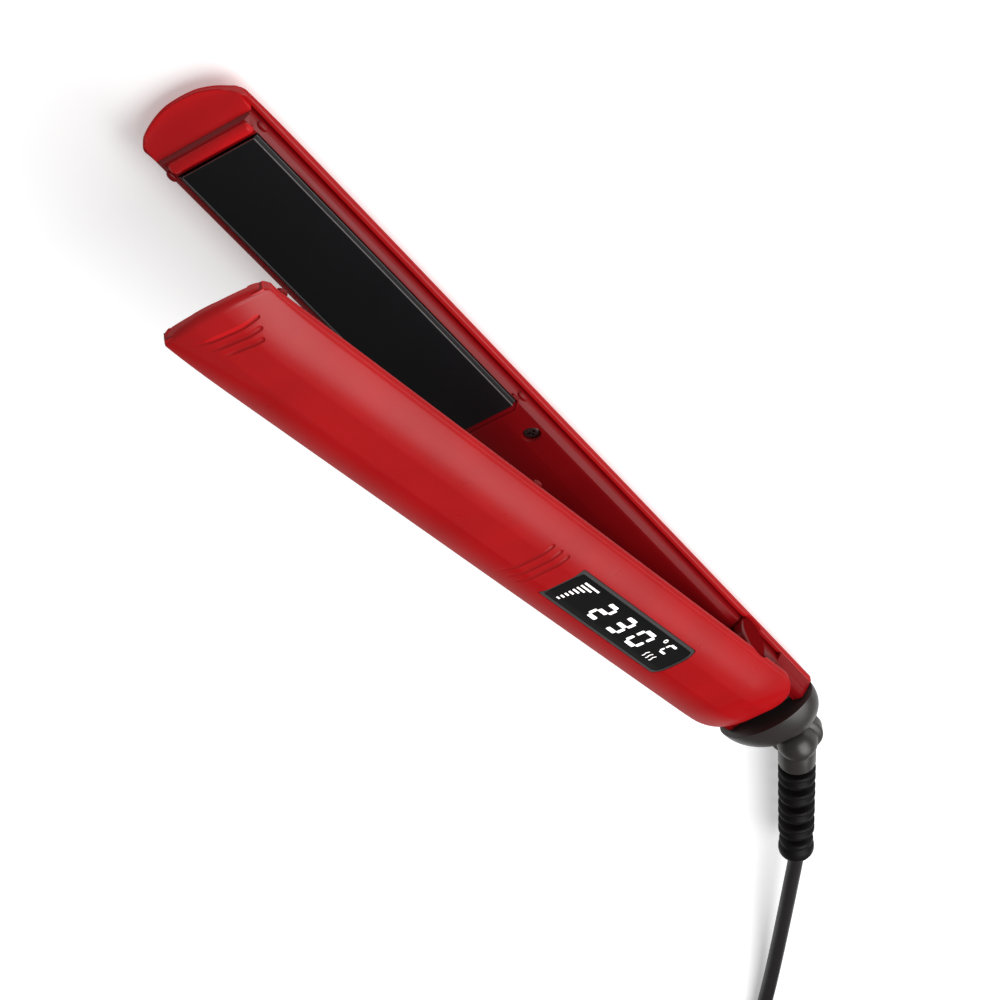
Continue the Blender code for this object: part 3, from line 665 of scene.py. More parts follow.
def build_cover(arm, name, depth_at, rear_end, grooves, lip_reach):
    """Shell through sections that stand closer where it curves and where it has grooves."""
    stations = [LIP_ROUND * (1.0 - math.cos(math.pi / 2 * i / 9)) for i in range(10)]
    stations += spaced(LIP_ROUND + 0.5, 18.0, 0.5) + spaced(18.0, TIP_LENGTH, 2.0)
    stations += spaced(TIP_LENGTH, 147.0, 8.0) + spaced(147.0, 161.0, 1.0) + spaced(161.0, PIVOT, 8.0)
    if rear_end:
        first = rear_end - TONGUE_ROLL
        stations += [first + TONGUE_ROLL * math.sin(math.pi / 2 * i / 26) for i in range(27)]
    else:
        stations += [LOWER_END - 1.0, LOWER_END]
    loops = [cover_section(s, depth_at, rear_end, lip_reach) for s in stations]
    words = dict(strip_ends=True, smooth_angle=34.0, replaces=(name,), slot="red_lacquer")
    cover = arm.sections(name + "_shell", loops, "red_lacquer", arm.body, **words)
    cut_cap_notches(arm, cover)
    for first, last in grooves:
        cut_groove(arm, cover, first, last)
    return cover


# Inner frames


def frame_section(station, lip_reach):
    """Flat face with two bevels, or the tip's scoop, over a back that follows the cover."""
    scoop = station <= SCOOP_END
    half = half_width(station, 1.25, None) if scoop else FRAME_HALF
    along = min(1.0, (station - SCOOP_START) / (SCOOP_END - SCOOP_START))
    rise = smoothstep(along)
    columns = [FRAME_HALF, 13.9, FRAME_FLAT + 0.2, FRAME_FLAT, 11.0, 9.0, 7.0, 5.0, 3.0, 1.0]
    face = []
    back = []
    for place in columns + [-c for c in columns[::-1]]:
        y = place * half / FRAME_HALF
        forward = station + tip_bulge(y, station) * (1.0 - along) ** 2 - lip_shift(station, lip_reach)
        crown = crown_depth(y, station)
        under = crown - lip_drop(station) - 0.4 if scoop else min(8.6, crown - 2.2)
        if not scoop:
            into_bevel = (abs(place) - FRAME_FLAT + 0.1) / (FRAME_HALF - FRAME_FLAT)
            depth = 2.7 if abs(place) == FRAME_HALF else FACE_DEPTH + 1.05 * smoothstep(0.8 * into_bevel)
        else:
            lip = crown - LIP_THICK - 0.03
            depth = lip - (lip - SCOOP_DEPTH) * rise
        face.append((forward, y, depth))
        back.append((forward, y, under))
    return back + face[::-1]


def ridge_section(y, size):
    """Rounded bar in front of the plate, as a loop of one y."""
    half = RIDGE_HALF * size
    loop = [(RIDGE_MIDDLE - half, y, RIDGE_FOOT)]
    for i in range(13):
        a = math.pi * (1.0 - i / 12.0)
        loop.append((RIDGE_MIDDLE + half * math.cos(a), y, RIDGE_AXIS - half * math.sin(a)))
    return loop + [(RIDGE_MIDDLE + half, y, RIDGE_FOOT)]


def flatten_faces(node):
    bm = bmesh.new()
    bm.from_mesh(node.data)
    bmesh.ops.triangulate(bm, faces=bm.faces)
    bm.to_mesh(node.data)
    bm.free()


def build_frame(arm, name, end, lip_reach):
    stations = spaced(SCOOP_START, SCOOP_END, 0.5) + [SCOOP_END, SCOOP_END + 0.3, RIDGE_MIDDLE - 2.2, 12.0]
    stations += [16.0, 20.0, 24.0, 29.0, TIP_LENGTH, end]
    loops = [frame_section(s, lip_reach) for s in stations]
    words = dict(strip_ends=True, replaces=(name,), slot="red_inner")
    body = arm.sections(name + "_shell", loops, "red_inner", arm.body, **words)
    flatten_faces(body)
    ends = ((12.6, 0.05), (12.5, 0.45), (12.2, 0.75), (11.7, 0.95), (11.0, 1.0))
    ridge = [ridge_section(-y, size) for y, size in ends]
    ridge += [ridge_section(y, size) for y, size in ends[::-1]]
    weld(body, arm.sections("ridge", ridge, "red_inner"))
    plate_end = PLATE_START + PLATE_LENGTH
    window = (PLATE_START - 0.4, plate_end + 0.4)
    hollow = (-FRAME_HOLLOW, FRAME_HOLLOW)
    cut(body, arm.box("window", window, hollow, (-4.0, 20.0)))
    cut(body, arm.box("hollow", (plate_end + 4.0, PIVOT - 10.0), hollow, (PANEL_BACK, 20.0)))
    for side in (-1, 1):
        sink = [(-2.0, 3.4), (FACE_DEPTH, 2.75), (2.0, 2.35), (7.0, 2.35)]
        cut(body, arm.turned("hole", "z", (SCREW_STATION, side * SCREW_Y, 0.0), sink, 40))
    return body


def lug_outline(reach, foot):
    points = []
    for i in range(25):
        a = math.radians(-150.0 + 240.0 * i / 24)
        points.append((PIVOT + LUG_RADIUS * math.cos(a), LUG_RADIUS * math.sin(a)))
    return points + [(PIVOT, foot), (PIVOT - reach, foot), (PIVOT - reach, 1.6)]


def add_lugs(arm, body, ys, reach, foot):
    for side in (-1, 1):
        ends = sorted((side * ys[0], side * ys[1]))
        weld(body, arm.prism_y("lug", lug_outline(reach, foot), ends[0], ends[1], "red_inner"))
    cut(body, arm.turned("bore", "y", (PIVOT, 0.0, 0.0), rod(30.0, PIN_RADIUS + 0.3, -15.0), 40))


def build_plate_bead(arm, prefix):
    """Raised bead round the plate's rear end."""
    outer = [(131.5, 13.2), (134.2, 13.2), (137.5, 10.4)]
    inner = [(136.5, 10.1), (134.0, 12.55), (131.5, 12.55)]
    outline = outer + [(s, -y) for s, y in outer[::-1] + inner[::-1]] + inner
    depths = (FACE_DEPTH - 0.3, FACE_DEPTH + 0.5)
    words = dict(body=arm.body, slot="red_inner")
    bead = arm.prism_depth(prefix + "_plate_bead", outline, *depths, "red_inner", **words)
    soften(bead, 0.25)


def build_rim_bumps(arm, prefix):
    """Small rounded bumps on the rim beside both ends of the plate."""
    bm = bmesh.new()
    for station in (PLATE_START - 0.5, PLATE_START + PLATE_LENGTH + 0.5):
        for side in (-1, 1):
            loops = []
            for i in range(13):
                a = math.pi * i / 12
                radius = max(0.03, 0.95 * math.sin(a))
                along = station - 2.0 * math.cos(a)
                ring = [(along, side * 14.0 + radius * c, 2.35 + 0.75 * radius * s) for c, s in circle(20)]
                loops.append([arm.point(*place) for place in ring])
            skin(bm, loops)
    finish_mesh(prefix + "_rim_bumps", bm, "red_inner", arm.body, slot="red_inner")


def paint_light_on_scoop(arm, body):
    """Paints light on the ridge and the scoop in front of it: they get a brighter red than the rest of the
    frame and the covers, standing in for the light on the scoop and the ridge's highlight.
    """
    body.data.materials.append(MATERIALS["red_painted_light"])
    back = arm.matrix.inverted()
    for face in body.data.polygons:
        is_step = abs((back.to_3x3() @ face.normal).x) > 0.75
        place = back @ face.center / MM
        on_ridge = abs(place.x + PIVOT - RIDGE_MIDDLE) < RIDGE_HALF + 0.2 and abs(place.z) < FACE_DEPTH
        if on_ridge or (place.x + PIVOT < SCOOP_END + 0.1 and not is_step):
            face.material_index = 1


def build_lower_frame(arm):
    end = LOWER_END - 0.3
    body = build_frame(arm, "lower_frame", end, LOWER_LIP_REACH)
    cut(body, arm.box("rear", (PIVOT - 11.0, end + 5.0), (-9.3, 9.3), (-9.0, 20.0)))
    shoulder = [(11.0, 0.9), (12.6, 0.9), (15.3, 4.0), (15.6, 4.9), (14.0, 4.9), (14.0, 6.4), (11.0, 6.4)]
    for side in (-1, 1):
        outline = [(side * y, d) for y, d in shoulder]
        weld(body, arm.prism_x("shoulder", outline, PIVOT + 16.0, end - 0.2, "red_inner"))
    cut_cap_notches(arm, body)
    add_lugs(arm, body, (9.6, 11.8), 5.0, 6.5)
    soften(body, FRAME_EDGE)
    paint_light_on_scoop(arm, body)


def build_upper_frame(arm):
    body = build_frame(arm, "upper_frame", UPPER_FRAME_END, 0.0)
    cut(body, arm.box("rear", (PIVOT - 11.0, PIVOT), (-12.3, 12.3), (-9.0, 20.0)))
    add_lugs(arm, body, (6.6, 9.0), 18.0, 5.6)
    for _, station in BUTTONS:
        cut(body, arm.turned("hole", "z", (station, 0.0, 0.0), rod(9.0, BUTTON_RADIUS + 0.3, -2.0), 40))
    soften(body, FRAME_EDGE)
    paint_light_on_scoop(arm, body)


# Plates and screws


def build_plate(arm, prefix):
    """Flat face inside a fine edge with a painted highlight, with a lower ledge round it."""
    ends = (PLATE_START, PLATE_START + PLATE_LENGTH)
    face = 10.9

    def section(station, inset):
        right = [(face - inset, PLATE_FACE), (face + 0.12 - inset, PLATE_FACE + 0.1)]
        right += [(face + 0.2 - inset, PLATE_FACE + 0.75), (PLATE_HALF - 0.15 - inset, PLATE_FACE + 0.95)]
        right += [(PLATE_HALF - inset, PLATE_FACE + 1.2), (PLATE_HALF - inset, 4.6)]
        right += [(PLATE_HALF - 1.3, 4.6), (PLATE_HALF - 1.3, 2.25)]
        left = [(-y, d) for y, d in right]
        return [(station, y, d) for y, d in right + left[::-1]]

    stations = [(ends[0], 0.25), (ends[0] + 0.08, 0.1), (ends[0] + 0.3, 0.0)]
    stations += [(ends[1] - 0.3, 0.0), (ends[1] - 0.08, 0.1), (ends[1], 0.25)]
    loops = [section(s, inset) for s, inset in stations]
    name = prefix + "_heat_plate"
    words = dict(strip_ends=True, smooth_angle=25.0, replaces=(name,), slot="plate_black")
    arm.sections(name + "_face", loops, "plate_black", prefix + "_plate", **words)
    build_plate_highlight_strips(arm, prefix, ends, face)


def build_plate_highlight_strips(arm, prefix, ends, face):
    """Thin grey strips along the flat face's long edges and front, and along the ledge's outer edges:
    painted highlights of these edges.
    """
    spans = []
    for side in (-1, 1):
        for y, rise in ((face + 0.1, 0.06), (PLATE_HALF - 0.15, 1.0)):
            spans.append(((ends[0] + 0.1, ends[1] - 0.1), side * y, 0.13, rise))
    spans.append(((ends[0] - 0.06, ends[0] + 0.2), 0.0, face, 0.08))
    bm = bmesh.new()
    for stations, y, half, rise in spans:
        top = PLATE_FACE + rise
        square = ((y - half, top), (y + half, top), (y + half, top + 0.4), (y - half, top + 0.4))
        skin(bm, [[arm.point(station, *corner) for corner in square] for station in stations])
    finish_mesh(prefix + "_plate_highlight_strips", bm, "edge_highlight_grey", prefix + "_plate", slot="plate_black")


def build_screws(arm, prefix):
    for side, word in ((-1, "left"), (1, "right")):
        centre = (SCREW_STATION, side * SCREW_Y, 0.0)
        profile = [(2.35, 1.9), (2.45, 2.1), (3.4, 1.3), (9.2, 1.2)]
        name = f"{prefix}_screw_{word}"
        words = dict(body=arm.body, replaces=(name,), slot="steel")
        screw = arm.turned(name + "_head", "z", centre, profile, 32, "screw_dark", **words)
        for size in ((1.3, 0.28), (0.28, 1.3)):
            stations = (SCREW_STATION - size[0], SCREW_STATION + size[0])
            ys = (side * SCREW_Y - size[1], side * SCREW_Y + size[1])
            cut(screw, arm.box("recess", stations, ys, (1.0, 3.0), "steel"))


# Display and buttons


def window_outline(inset):
    """Window's outline, whose rear edge bows out, as (station, y)."""
    corner = 0.8
    half = WINDOW_HALF - inset
    box = rounded_outline((WINDOW[0] + inset, WINDOW[1] - inset), (-half, half), corner)
    middle = (WINDOW[0] + WINDOW[1]) / 2

    def bow(y):
        return WINDOW_BOW * (1.0 - (y / WINDOW_HALF) ** 2)

    rear_ys = [(half - corner) * (i / 6.0 - 1.0) for i in range(1, 12)]
    rear = [(WINDOW[1] - inset + bow(y), y) for y in rear_ys]
    return rear + [(station + (bow(y) if station > middle else 0.0), y) for station, y in box]


def build_display(arm):
    """Glossy window with a satin bezel round it."""
    outer = window_outline(BEZEL_GAP)
    inner = window_outline(BEZEL_GAP + BEZEL)
    shoulders = (window_outline(BEZEL_GAP + 0.08), window_outline(BEZEL_GAP + BEZEL - 0.06))
    rims = [(outer, -2.0), (outer, -0.12), (shoulders[0], 0.0)]
    rims += [(shoulders[1], 0.0), (inner, -0.1), (inner, -2.0)]
    bm = bmesh.new()
    rings = []
    for outline, rise in rims:
        rings.append([bm.verts.new(arm.point(s, y, crown_depth(y, s) + rise)) for s, y in outline])
    for first, second in zip(rings, rings[1:] + rings[:1]):
        for i in range(len(outer)):
            j = (i + 1) % len(outer)
            bm.faces.new((first[i], first[j], second[j], second[i]))
    finish_mesh("display_bezel", bm, "bezel_black", arm.body, slot="display_black")

    end = WINDOW[1] + WINDOW_BOW
    half = WINDOW_HALF - 0.5
    back = 10.9
    loops = []
    for s in spaced(WINDOW[0] + 0.5, end, 1.5) + [end]:
        ys = [half * (1.0 - i / 12.0) for i in range(25)]
        top = [(s, y, crown_depth(y, s) - 0.14) for y in ys]
        loops.append([(s, half, back)] + top + [(s, -half, back)])
    words = dict(smooth_angle=30.0, replaces=("display_lens",), slot="display_black")
    lens = arm.sections("display_glass", loops, "display_black", arm.body, **words)
    keep = arm.prism_depth("keep", window_outline(BEZEL_GAP + BEZEL - 0.06), 5.0, 20.0, "display_black")
    combine(lens, keep, "INTERSECT")


def readout_piece(bm, arm, outline):
    """Adds a thin raised shape with the given (station, y) outline to the readout."""
    skin(bm, [[arm.point(s, y, crown_depth(y, s) + rise) for s, y in outline] for rise in (-0.2, -0.09)])


def bar(start, end, low, high):
    """Rectangle as (station, y) points."""
    return [(start, low), (start, high), (end, high), (end, low)]


DIGIT_SEGMENTS = {"2": "abged", "3": "abgcd", "0": "abcdef", "C": "adef"}


def digit_shapes(digit, start, end, bottom, top, thick=1.3, gap=0.42):
    """Seven-segment outlines of a slightly slanted digit."""
    middle = (bottom + top) / 2
    h = thick / 2

    def flat(y):
        low, high = start + thick, end - thick
        left, right = start + h + gap, end - h - gap
        return [(left, y), (low, y + h), (high, y + h), (right, y), (high, y - h), (low, y - h)]

    def upright(s, y0, y1):
        low, high = y0 + h, y1 - h
        return [(s, y0 + gap), (s + h, low), (s + h, high), (s, y1 - gap), (s - h, high), (s - h, low)]

    places = {
        "a": flat(top - h),
        "g": flat(middle),
        "d": flat(bottom + h),
        "b": upright(end - h, middle, top - h),
        "c": upright(end - h, bottom + h, middle),
        "f": upright(start + h, middle, top - h),
        "e": upright(start + h, bottom + h, middle),
    }
    slant = 0.06
    return [[(s + slant * (y - middle), y) for s, y in places[key]] for key in DIGIT_SEGMENTS[digit]]


def ring_shapes(centre, radius, thick, start=0.0, end=360.0):
    """Short blocks that make up a ring or a part of one."""
    shapes = []
    count = max(3, round((end - start) / 24.0))
    for i in range(count):
        a0 = math.radians(start + (end - start) * i / count)
        a1 = math.radians(start + (end - start) * (i + 1) / count)
        shape = []
        for r, a in ((radius, a0), (radius, a1), (radius - thick, a1), (radius - thick, a0)):
            shape.append((centre[0] + r * math.cos(a), centre[1] + r * math.sin(a)))
        shapes.append(shape[::-1])
    return shapes


def build_readout(arm):
    """Level bars, a temperature in generic segments and a small generic heat mark."""
    bm = bmesh.new()
    shapes = []
    for i, length in enumerate((1.45, 1.65, 1.8, 2.3, 3.0, 3.85, 5.3, 7.3)):
        y = -4.65 + 1.314 * i
        shapes.append(bar(172.0, 172.0 + length, y - 0.28, y + 0.28))
    for digit, start, end in (("2", 185.7, 191.8), ("3", 196.1, 202.3), ("0", 206.4, 213.0)):
        shapes += digit_shapes(digit, start, end, -3.75, 4.3)
    shapes += ring_shapes((216.9, 4.6), 0.75, 0.35)
    shapes += digit_shapes("C", 219.4, 223.3, 0.5, 5.0, 0.75, 0.2)
    for i in range(3):
        s = 218.0 + 1.9 * i
        for k in range(5):
            y = -4.0 + 0.5 * k
            sway = 0.22 * math.sin(math.pi * k / 2.0)
            after = 0.22 * math.sin(math.pi * (k + 1) / 2.0)
            low = [(s + sway - MARK_HALF, y), (s + after - MARK_HALF, y + 0.5)]
            shapes.append(low + [(s + after + MARK_HALF, y + 0.5), (s + sway + MARK_HALF, y)])
    for shape in shapes:
        readout_piece(bm, arm, shape)
    finish_mesh("display_readout", bm, "glow_white", arm.body, 20.0, slot="display_black")


def mark_shapes(name, station):
    """Outlines of a button's mark: a ring with a stroke, a minus or a plus."""
    half = MARK_HALF
    if name == "power_button":
        stroke = bar(station - 1.4, station - 0.2, -half, half)
        return ring_shapes((station, 0.0), 1.15, 0.3, -60.0, 240.0) + [stroke]
    shapes = [bar(station - half, station + half, -1.1, 1.1)]
    if name == "plus_button":
        shapes.append(bar(station - 1.1, station - half, -half, half))
        shapes.append(bar(station + half, station + 1.1, -half, half))
    return shapes


def build_buttons(arm):
    """Domed keys with raised marks."""
    for name, station in BUTTONS:
        body = name.replace("button", "key")
        profile = [(BUTTON_TOP, 0.3), (BUTTON_TOP + 0.02, 1.2), (BUTTON_TOP + 0.12, BUTTON_RADIUS - 0.7)]
        profile += [(BUTTON_TOP + 0.3, BUTTON_RADIUS - 0.25), (BUTTON_TOP + 0.65, BUTTON_RADIUS)]
        profile += [(3.3, BUTTON_RADIUS), (3.3, BUTTON_RADIUS + 0.8), (3.9, BUTTON_RADIUS + 0.8)]
        words = dict(body=body, replaces=(name,), slot="black_plastic")
        arm.turned(name + "_key", "z", (station, 0.0, 0.0), profile, 40, "black_plastic", **words)
        bm = bmesh.new()
        for shape in mark_shapes(name, station):
            skin(bm, [[arm.point(s, y, BUTTON_TOP + depth) for s, y in shape] for depth in (0.15, -0.04)])
        finish_mesh(name + "_mark", bm, "mark_grey", body, 20.0, slot="black_plastic")


# Hinge, swivel housing and head


def build_caps(arm):
    """Round covers of the hinge pin's ends, slightly domed inside a rounded edge."""
    dome = 0.42
    dome_radius = CAP_RADIUS - 0.6
    for side, word in ((-1, "left"), (1, "right")):
        profile = [(CAP_INNER, CAP_RADIUS), (CAP_OUTER - 1.0, CAP_RADIUS)]
        profile += [(CAP_OUTER - 0.7, CAP_RADIUS - 0.07), (CAP_OUTER - 0.5, CAP_RADIUS - 0.28)]
        profile.append((CAP_OUTER - dome, dome_radius))
        for share in [1.0 - i / 8.3 for i in range(1, 9)]:
            profile.append((CAP_OUTER - dome * share**2, dome_radius * share))
        profile = [(side * along, radius) for along, radius in profile]
        name = f"pivot_cap_{word}"
        words = dict(body=arm.body, smooth_angle=50.0, replaces=(name,), slot="red_lacquer")
        # the caps' faces take the darker red of painted shade instead of the covers' lacquer
        arm.turned(name + "_face", "y", (PIVOT, 0.0, 0.0), profile, 72, "red_cap_painted_shade", **words)


def build_housing_lip(arm, top):
    """Round-ended shelf under the swivelling head."""
    loops = []
    edges = [(top, 0.2), (top + 0.2, 0.0), (LIP_BOTTOM - 1.2, 0.0), (LIP_BOTTOM - 0.4, 0.3)]
    for depth, inset in edges + [(LIP_BOTTOM, 1.0)]:
        reach = LIP_RADIUS - inset
        loop = [(290.0, reach, depth), (290.0, -reach, depth)]
        for i in range(37):
            a = math.pi * (i / 36.0 - 0.5)
            loop.append((SWIVEL_STATION + reach * math.cos(a), reach * math.sin(a), depth))
        loops.append(loop)
    return arm.sections("lip", loops, "black_plastic")


def build_housing(arm):
    """Rounded black end of the lower arm, with a lip that carries the swivelling head."""
    station, depth = DOME_CENTRE
    loops = []
    rows = 40
    for i in range(rows + 1):
        a = math.pi * i / rows
        radius = max(0.6, DOME_RADIUS * math.sin(a))
        level = depth - DOME_SEMI_HEIGHT * math.cos(a)
        loops.append([(station + radius * c, radius * s, level) for c, s in circle(96)])
    words = dict(replaces=("swivel_housing",), slot="black_plastic")
    housing = arm.sections("swivel_housing_shell", loops, "black_plastic", arm.body, **words)
    cut(housing, arm.box("front", (260.0, LOWER_END + 0.3), (-20.0, 20.0), (-20.0, 20.0)))
    weld(housing, arm.box("spigot", (273.0, LOWER_END + 2.0), (-9.0, 9.0), (3.4, 8.2)))
    clear = HEAD_BOTTOM + 0.3
    weld(housing, build_housing_lip(arm, clear))
    pivot = (SWIVEL_STATION, 0.0, 0.0)
    cut(housing, arm.turned("bore", "z", pivot, rod(clear + 20.0, HEAD_RADIUS + 0.4, -20.0), 96))
    cut(housing, arm.turned("screw_way", "z", pivot, rod(6.0, SCREW_RADIUS + 0.3, 7.0), 32))
    cut(housing, arm.turned("sink", "z", pivot, rod(4.0, 3.3, LIP_BOTTOM - 1.8), 40))
    soften(housing, 0.3)


def ring_loops(matrix, profile, segments):
    """Circles of a (distance along the axis, radius) profile, placed by the matrix."""
    loops = []
    for along, radius in profile:
        loops.append([matrix @ Vector((radius * c, radius * s, along)) * MM for c, s in circle(segments)])
    return loops


def swivel_matrix():
    return Matrix.Translation(SWIVEL / MM)


def outlet_matrix():
    turn = Matrix.Translation((0.0, 0.0, -RELIEF_DEPTH)) @ Matrix.Rotation(RELIEF_ANGLE, 4, "Z")
    return swivel_matrix() @ turn @ Matrix.Rotation(math.pi / 2, 4, "Y")


def build_head():
    """Turned head that swings on the lip's screw, with the cord's outlet at its side."""
    profile = [(-0.4, 0.4), (-0.4, SCREW_RADIUS + 0.3), (-HEAD_BOTTOM, SCREW_RADIUS + 0.3)]
    profile += [(-HEAD_BOTTOM, 7.3), (-HEAD_BOTTOM + 0.25, 7.8), (-HEAD_BOTTOM + 0.8, HEAD_RADIUS)]
    profile += [(-5.0, HEAD_RADIUS), (-4.6, HEAD_RADIUS - 0.12), (-4.25, HEAD_RADIUS - 0.5)]
    profile += [(-4.0, HEAD_RADIUS - 1.0), (-3.6, HEAD_BALL + 0.25), (-3.2, HEAD_BALL + 0.03)]
    for i in range(1, 18):
        a = math.radians(88.0 * i / 17)
        profile.append((-RELIEF_DEPTH + HEAD_BALL * math.sin(a), HEAD_BALL * math.cos(a)))
    bm = loft(ring_loops(swivel_matrix(), profile, 72))
    words = dict(replaces=("swivel_head",), slot="black_plastic")
    head = finish_mesh("swivel_head_body", bm, "black_plastic", "cord_swivel", **words)
    outlet = [(2.5, RELIEF_RADIUS), (OUTLET_END - 0.5, RELIEF_RADIUS)]
    outlet += [(OUTLET_END - 0.2, RELIEF_RADIUS - 0.1), (OUTLET_END, RELIEF_RADIUS - 0.4)]
    weld(head, finish_mesh("outlet", loft(ring_loops(outlet_matrix(), outlet, 64)), "black_plastic", None))
    soften(head, 0.6, 4, 12.0, 50.0)


def relief_profile():
    """Four double flanges with deep grooves between them, and a thick rounded end ring."""
    neck = 3.0
    first = 11.5
    pitch = 8.35
    flange = 5.5
    profile = [(RELIEF_START, neck)]
    for i in range(4):
        start = first + pitch * i
        middle = start + flange / 2
        radius = RELIEF_RADIUS - 0.05 * i
        side = [(-0.5, neck), (-0.15, neck + 0.15), (0.0, neck + 0.5), (0.12, neck + 0.8 * (radius - neck))]
        side += [(0.25, radius - 0.2), (0.5, radius), (1.5, radius), (1.8, radius - 0.12)]
        side.append((flange / 2 - 0.35, radius - 1.0))
        profile += [(start + along, r) for along, r in side]
        profile.append((middle, radius - 1.15))
        profile += [(start + flange - along, r) for along, r in side[::-1]]
    ring = first + pitch * 4
    end = RELIEF_START + RELIEF_LENGTH
    front = [(-0.2, neck), (0.0, neck + 0.4), (0.15, 4.8), (0.5, 5.1), (1.9, 5.3), (2.3, 5.1), (2.9, 4.6)]
    front += [(3.4, 4.8), (3.9, 5.3), (4.6, 5.5)]
    rear = [(2.2, 5.55), (1.4, 5.4), (0.6, 5.0), (0.15, 4.4), (0.0, 3.6), (0.0, 2.7)]
    return profile + [(ring + along, r) for along, r in front] + [(end - along, r) for along, r in rear]


def build_relief():
    bm = loft(ring_loops(outlet_matrix(), relief_profile(), 56))
    words = dict(replaces=("strain_relief",), slot="black_rubber")
    return finish_mesh("strain_relief_sleeve", bm, "black_rubber", "cord_swivel", 45.0, **words)


# Cord and plug


def smooth_route(points, step):
    """Evenly spaced points from a Catmull-Rom curve through the route's points."""
    route = [Vector(p) for p in points]
    route = [2 * route[0] - route[1]] + route + [2 * route[-1] - route[-2]]
    fine = []
    for i in range(1, len(route) - 2):
        a, b, c, d = route[i - 1], route[i], route[i + 1], route[i + 2]
        for t in [k / 24.0 for k in range(24)]:
            square = (2 * a - 5 * b + 4 * c - d) * t**2
            cube = (3 * b - a - 3 * c + d) * t**3
            fine.append(0.5 * (2 * b + (c - a) * t + square + cube))
    fine.append(route[-2])
    chosen = [fine[0]]
    gone = 0.0
    for before, after in zip(fine, fine[1:]):
        gone += (after - before).length
        if gone >= step:
            chosen.append(after)
            gone = 0.0
    chosen.append(fine[-1])
    return chosen


# Places of the turns in winding order: column, level, and the part of the turn in which it leaves
TURNS = (
    ("outer", 0, (0.84, 1.0)),
    ("middle", 0, (0.84, 1.0)),
    ("inner", 0, (0.71, 0.87)),
    ("inner", 1, (0.71, 0.87)),
    ("inner", 2, (0.71, 0.87)),
    ("inner", 3, (0.6, 0.74)),
    ("middle", 3, (0.47, 0.62)),
    ("middle", 2, (0.47, 0.62)),
    ("middle", 1, (0.36, 0.49)),
    ("outer", 1, (1.0, 1.1)),
)


def coil_route():
    """Turns of the coil from the lead's end to the plug."""
    per_turn = 60
    tail = (COIL_END - COIL_ENTRY) / (2 * math.pi)
    count = round((len(TURNS) - 1 + tail) * per_turn)
    points = []
    for k in range(count + 1):
        t = k / per_turn
        turn = min(int(t), len(TURNS) - 1)
        radius = COIL_RADII[TURNS[0][0]]
        level = TURNS[0][1]
        for index in range(turn + 1):
            if index + 1 < len(TURNS):
                leave, arrive = TURNS[index][2]
                share = smoothstep((t - index - leave) / (arrive - leave))
                following = TURNS[index + 1]
                radius += (COIL_RADII[following[0]] - COIL_RADII[TURNS[index][0]]) * share
                level += (following[1] - TURNS[index][1]) * share
        a = COIL_ENTRY + 2 * math.pi * t
        height = CORD_REST + level * COIL_PITCH
        points.append(COIL_CENTRE + Vector((radius * math.cos(a), radius * math.sin(a), height)))
    return points


def build_cord():
    """One open curve: the lead on the table, the coil and the short tail to the plug."""
    along = Vector((math.cos(RELIEF_ANGLE), math.sin(RELIEF_ANGLE), 0.0))
    centre = Vector((SWIVEL.x / MM, SWIVEL.y / MM, 0.0))
    leave = centre + along * (RELIEF_START + RELIEF_LENGTH) + Vector((0.0, 0.0, BACK_DEPTH - RELIEF_DEPTH))
    turns = coil_route()
    lead = smooth_route([leave - along * 1.5, leave + along * 1.5, *LEAD_ROUTE, turns[2]], 3.0)
    low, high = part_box("plug_body")
    plug_end = Vector(((low.x + high.x) / 2, low.y, (low.z + high.z) / 2)) / MM
    points = lead[:-1] + turns[2:]
    tail = points[-1]
    points.append((tail + plug_end) / 2)
    points.append(plug_end + Vector((0.0, 0.6, 0.0)))
    curve = bpy.data.curves.new("mains_cord", "CURVE")
    curve.dimensions = "3D"
    curve.bevel_depth = CORD_RADIUS * MM
    curve.bevel_resolution = 5
    curve.use_fill_caps = True
    spline = curve.splines.new("POLY")
    spline.points.add(len(points) - 1)
    for target, point in zip(spline.points, points):
        target.co = (*(point * MM), 1.0)
    spline.use_smooth = True
    curve.materials.append(MATERIALS["cord_black"])
    cord = add_object("mains_cord", curve)
    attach(cord, "cord_swivel")
    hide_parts("cord_lead", "cord_coil")
    return cord, leave


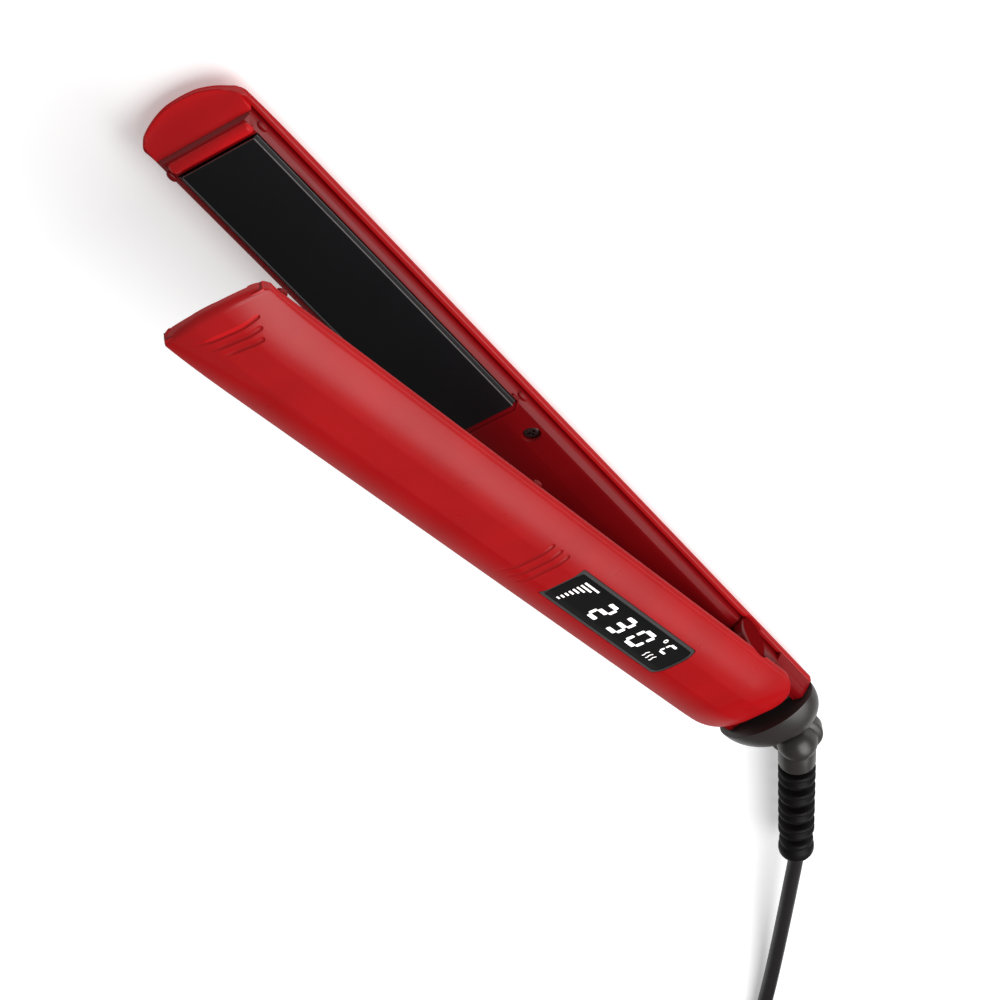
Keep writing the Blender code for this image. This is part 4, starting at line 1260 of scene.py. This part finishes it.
def build_plug():
    """Smooth flat plug and its two pins with dark sleeves."""
    low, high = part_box("plug_body")
    x = (low.x + high.x) / 2 / MM
    z = (low.z + high.z) / 2 / MM
    start = low.y / MM
    stations = [(0.0, 3.0, 2.9), (0.5, 3.5, 3.35), (6.0, 4.2, 4.0), (12.0, 5.2, 5.0), (14.0, 7.4, 5.4)]
    stations += [(16.0, 10.2, 5.8), (19.5, 13.6, 6.25), (24.0, 15.9, 6.6), (28.5, 17.0, 6.72)]
    stations += [(33.0, 17.4, 6.8), (39.0, 17.3, 6.8), (41.2, 17.0, 6.7), (41.8, 16.7, 6.45)]
    stations.append((42.0, 16.2, 6.0))
    loops = []
    for along, half, thick in stations:
        loop = []
        for c, s in circle(56):
            u = half * math.copysign(abs(c) ** 0.6, c)
            v = thick * math.copysign(abs(s) ** 0.6, s)
            loop.append(Vector((x + u, start + along, z + v)) * MM)
        loops.append(loop)
    words = dict(replaces=("plug_body",), slot="black_plastic")
    body = finish_mesh("plug_shell", loft(loops), "black_plastic", "cord_swivel", **words)
    pieces = [body]
    for word, side in (("left", -1), ("right", 1)):
        turn = Matrix.Translation((x + side * 9.3, start, z)) @ Matrix.Rotation(-math.pi / 2, 4, "X")
        name = f"plug_pin_{word}"
        metal = [(42.3, 1.9), (51.0, 1.9), (51.2, 2.0), (59.6, 2.0), (60.6, 1.8), (61.1, 1.4), (61.3, 0.8)]
        words = dict(replaces=(name,), slot="steel")
        bm = loft(ring_loops(turn, metal, 28))
        pin = finish_mesh(name + "_metal", bm, "steel", "cord_swivel", **words)
        bm = loft(ring_loops(turn, [(42.1, 2.0), (50.8, 2.0), (51.0, 1.9)], 28))
        cuff = finish_mesh(name + "_sleeve", bm, "black_plastic", "cord_swivel", slot="black_plastic")
        pieces += [pin, cuff]
    return pieces


make_materials()
make_camera()
make_floor()
make_light()
dress_frame_nodes()

lower = Arm("lower_arm", -1, 0.0)
upper = Arm("upper_arm", 1, OPEN_ANGLE)
build_cover(lower, "lower_cover", crown_depth, None, TIP_GROOVES, LOWER_LIP_REACH)
cover = build_cover(upper, "upper_cover", tongue_depth, TONGUE_END, TIP_GROOVES + HANDLE_GROOVES, 0.0)
cut(cover, upper.prism_depth("window", window_outline(0.0), 6.0, 20.0, "red_lacquer"))
build_lower_frame(lower)
build_upper_frame(upper)
for arm, prefix in ((lower, "lower"), (upper, "upper")):
    build_plate_bead(arm, prefix)
    build_rim_bumps(arm, prefix)
    build_plate(arm, prefix)
    build_screws(arm, prefix)
build_display(upper)
build_readout(upper)
build_buttons(upper)
build_caps(lower)
build_housing(lower)
build_head()
relief = build_relief()
cord, leave = build_cord()
plug_pieces = build_plug()
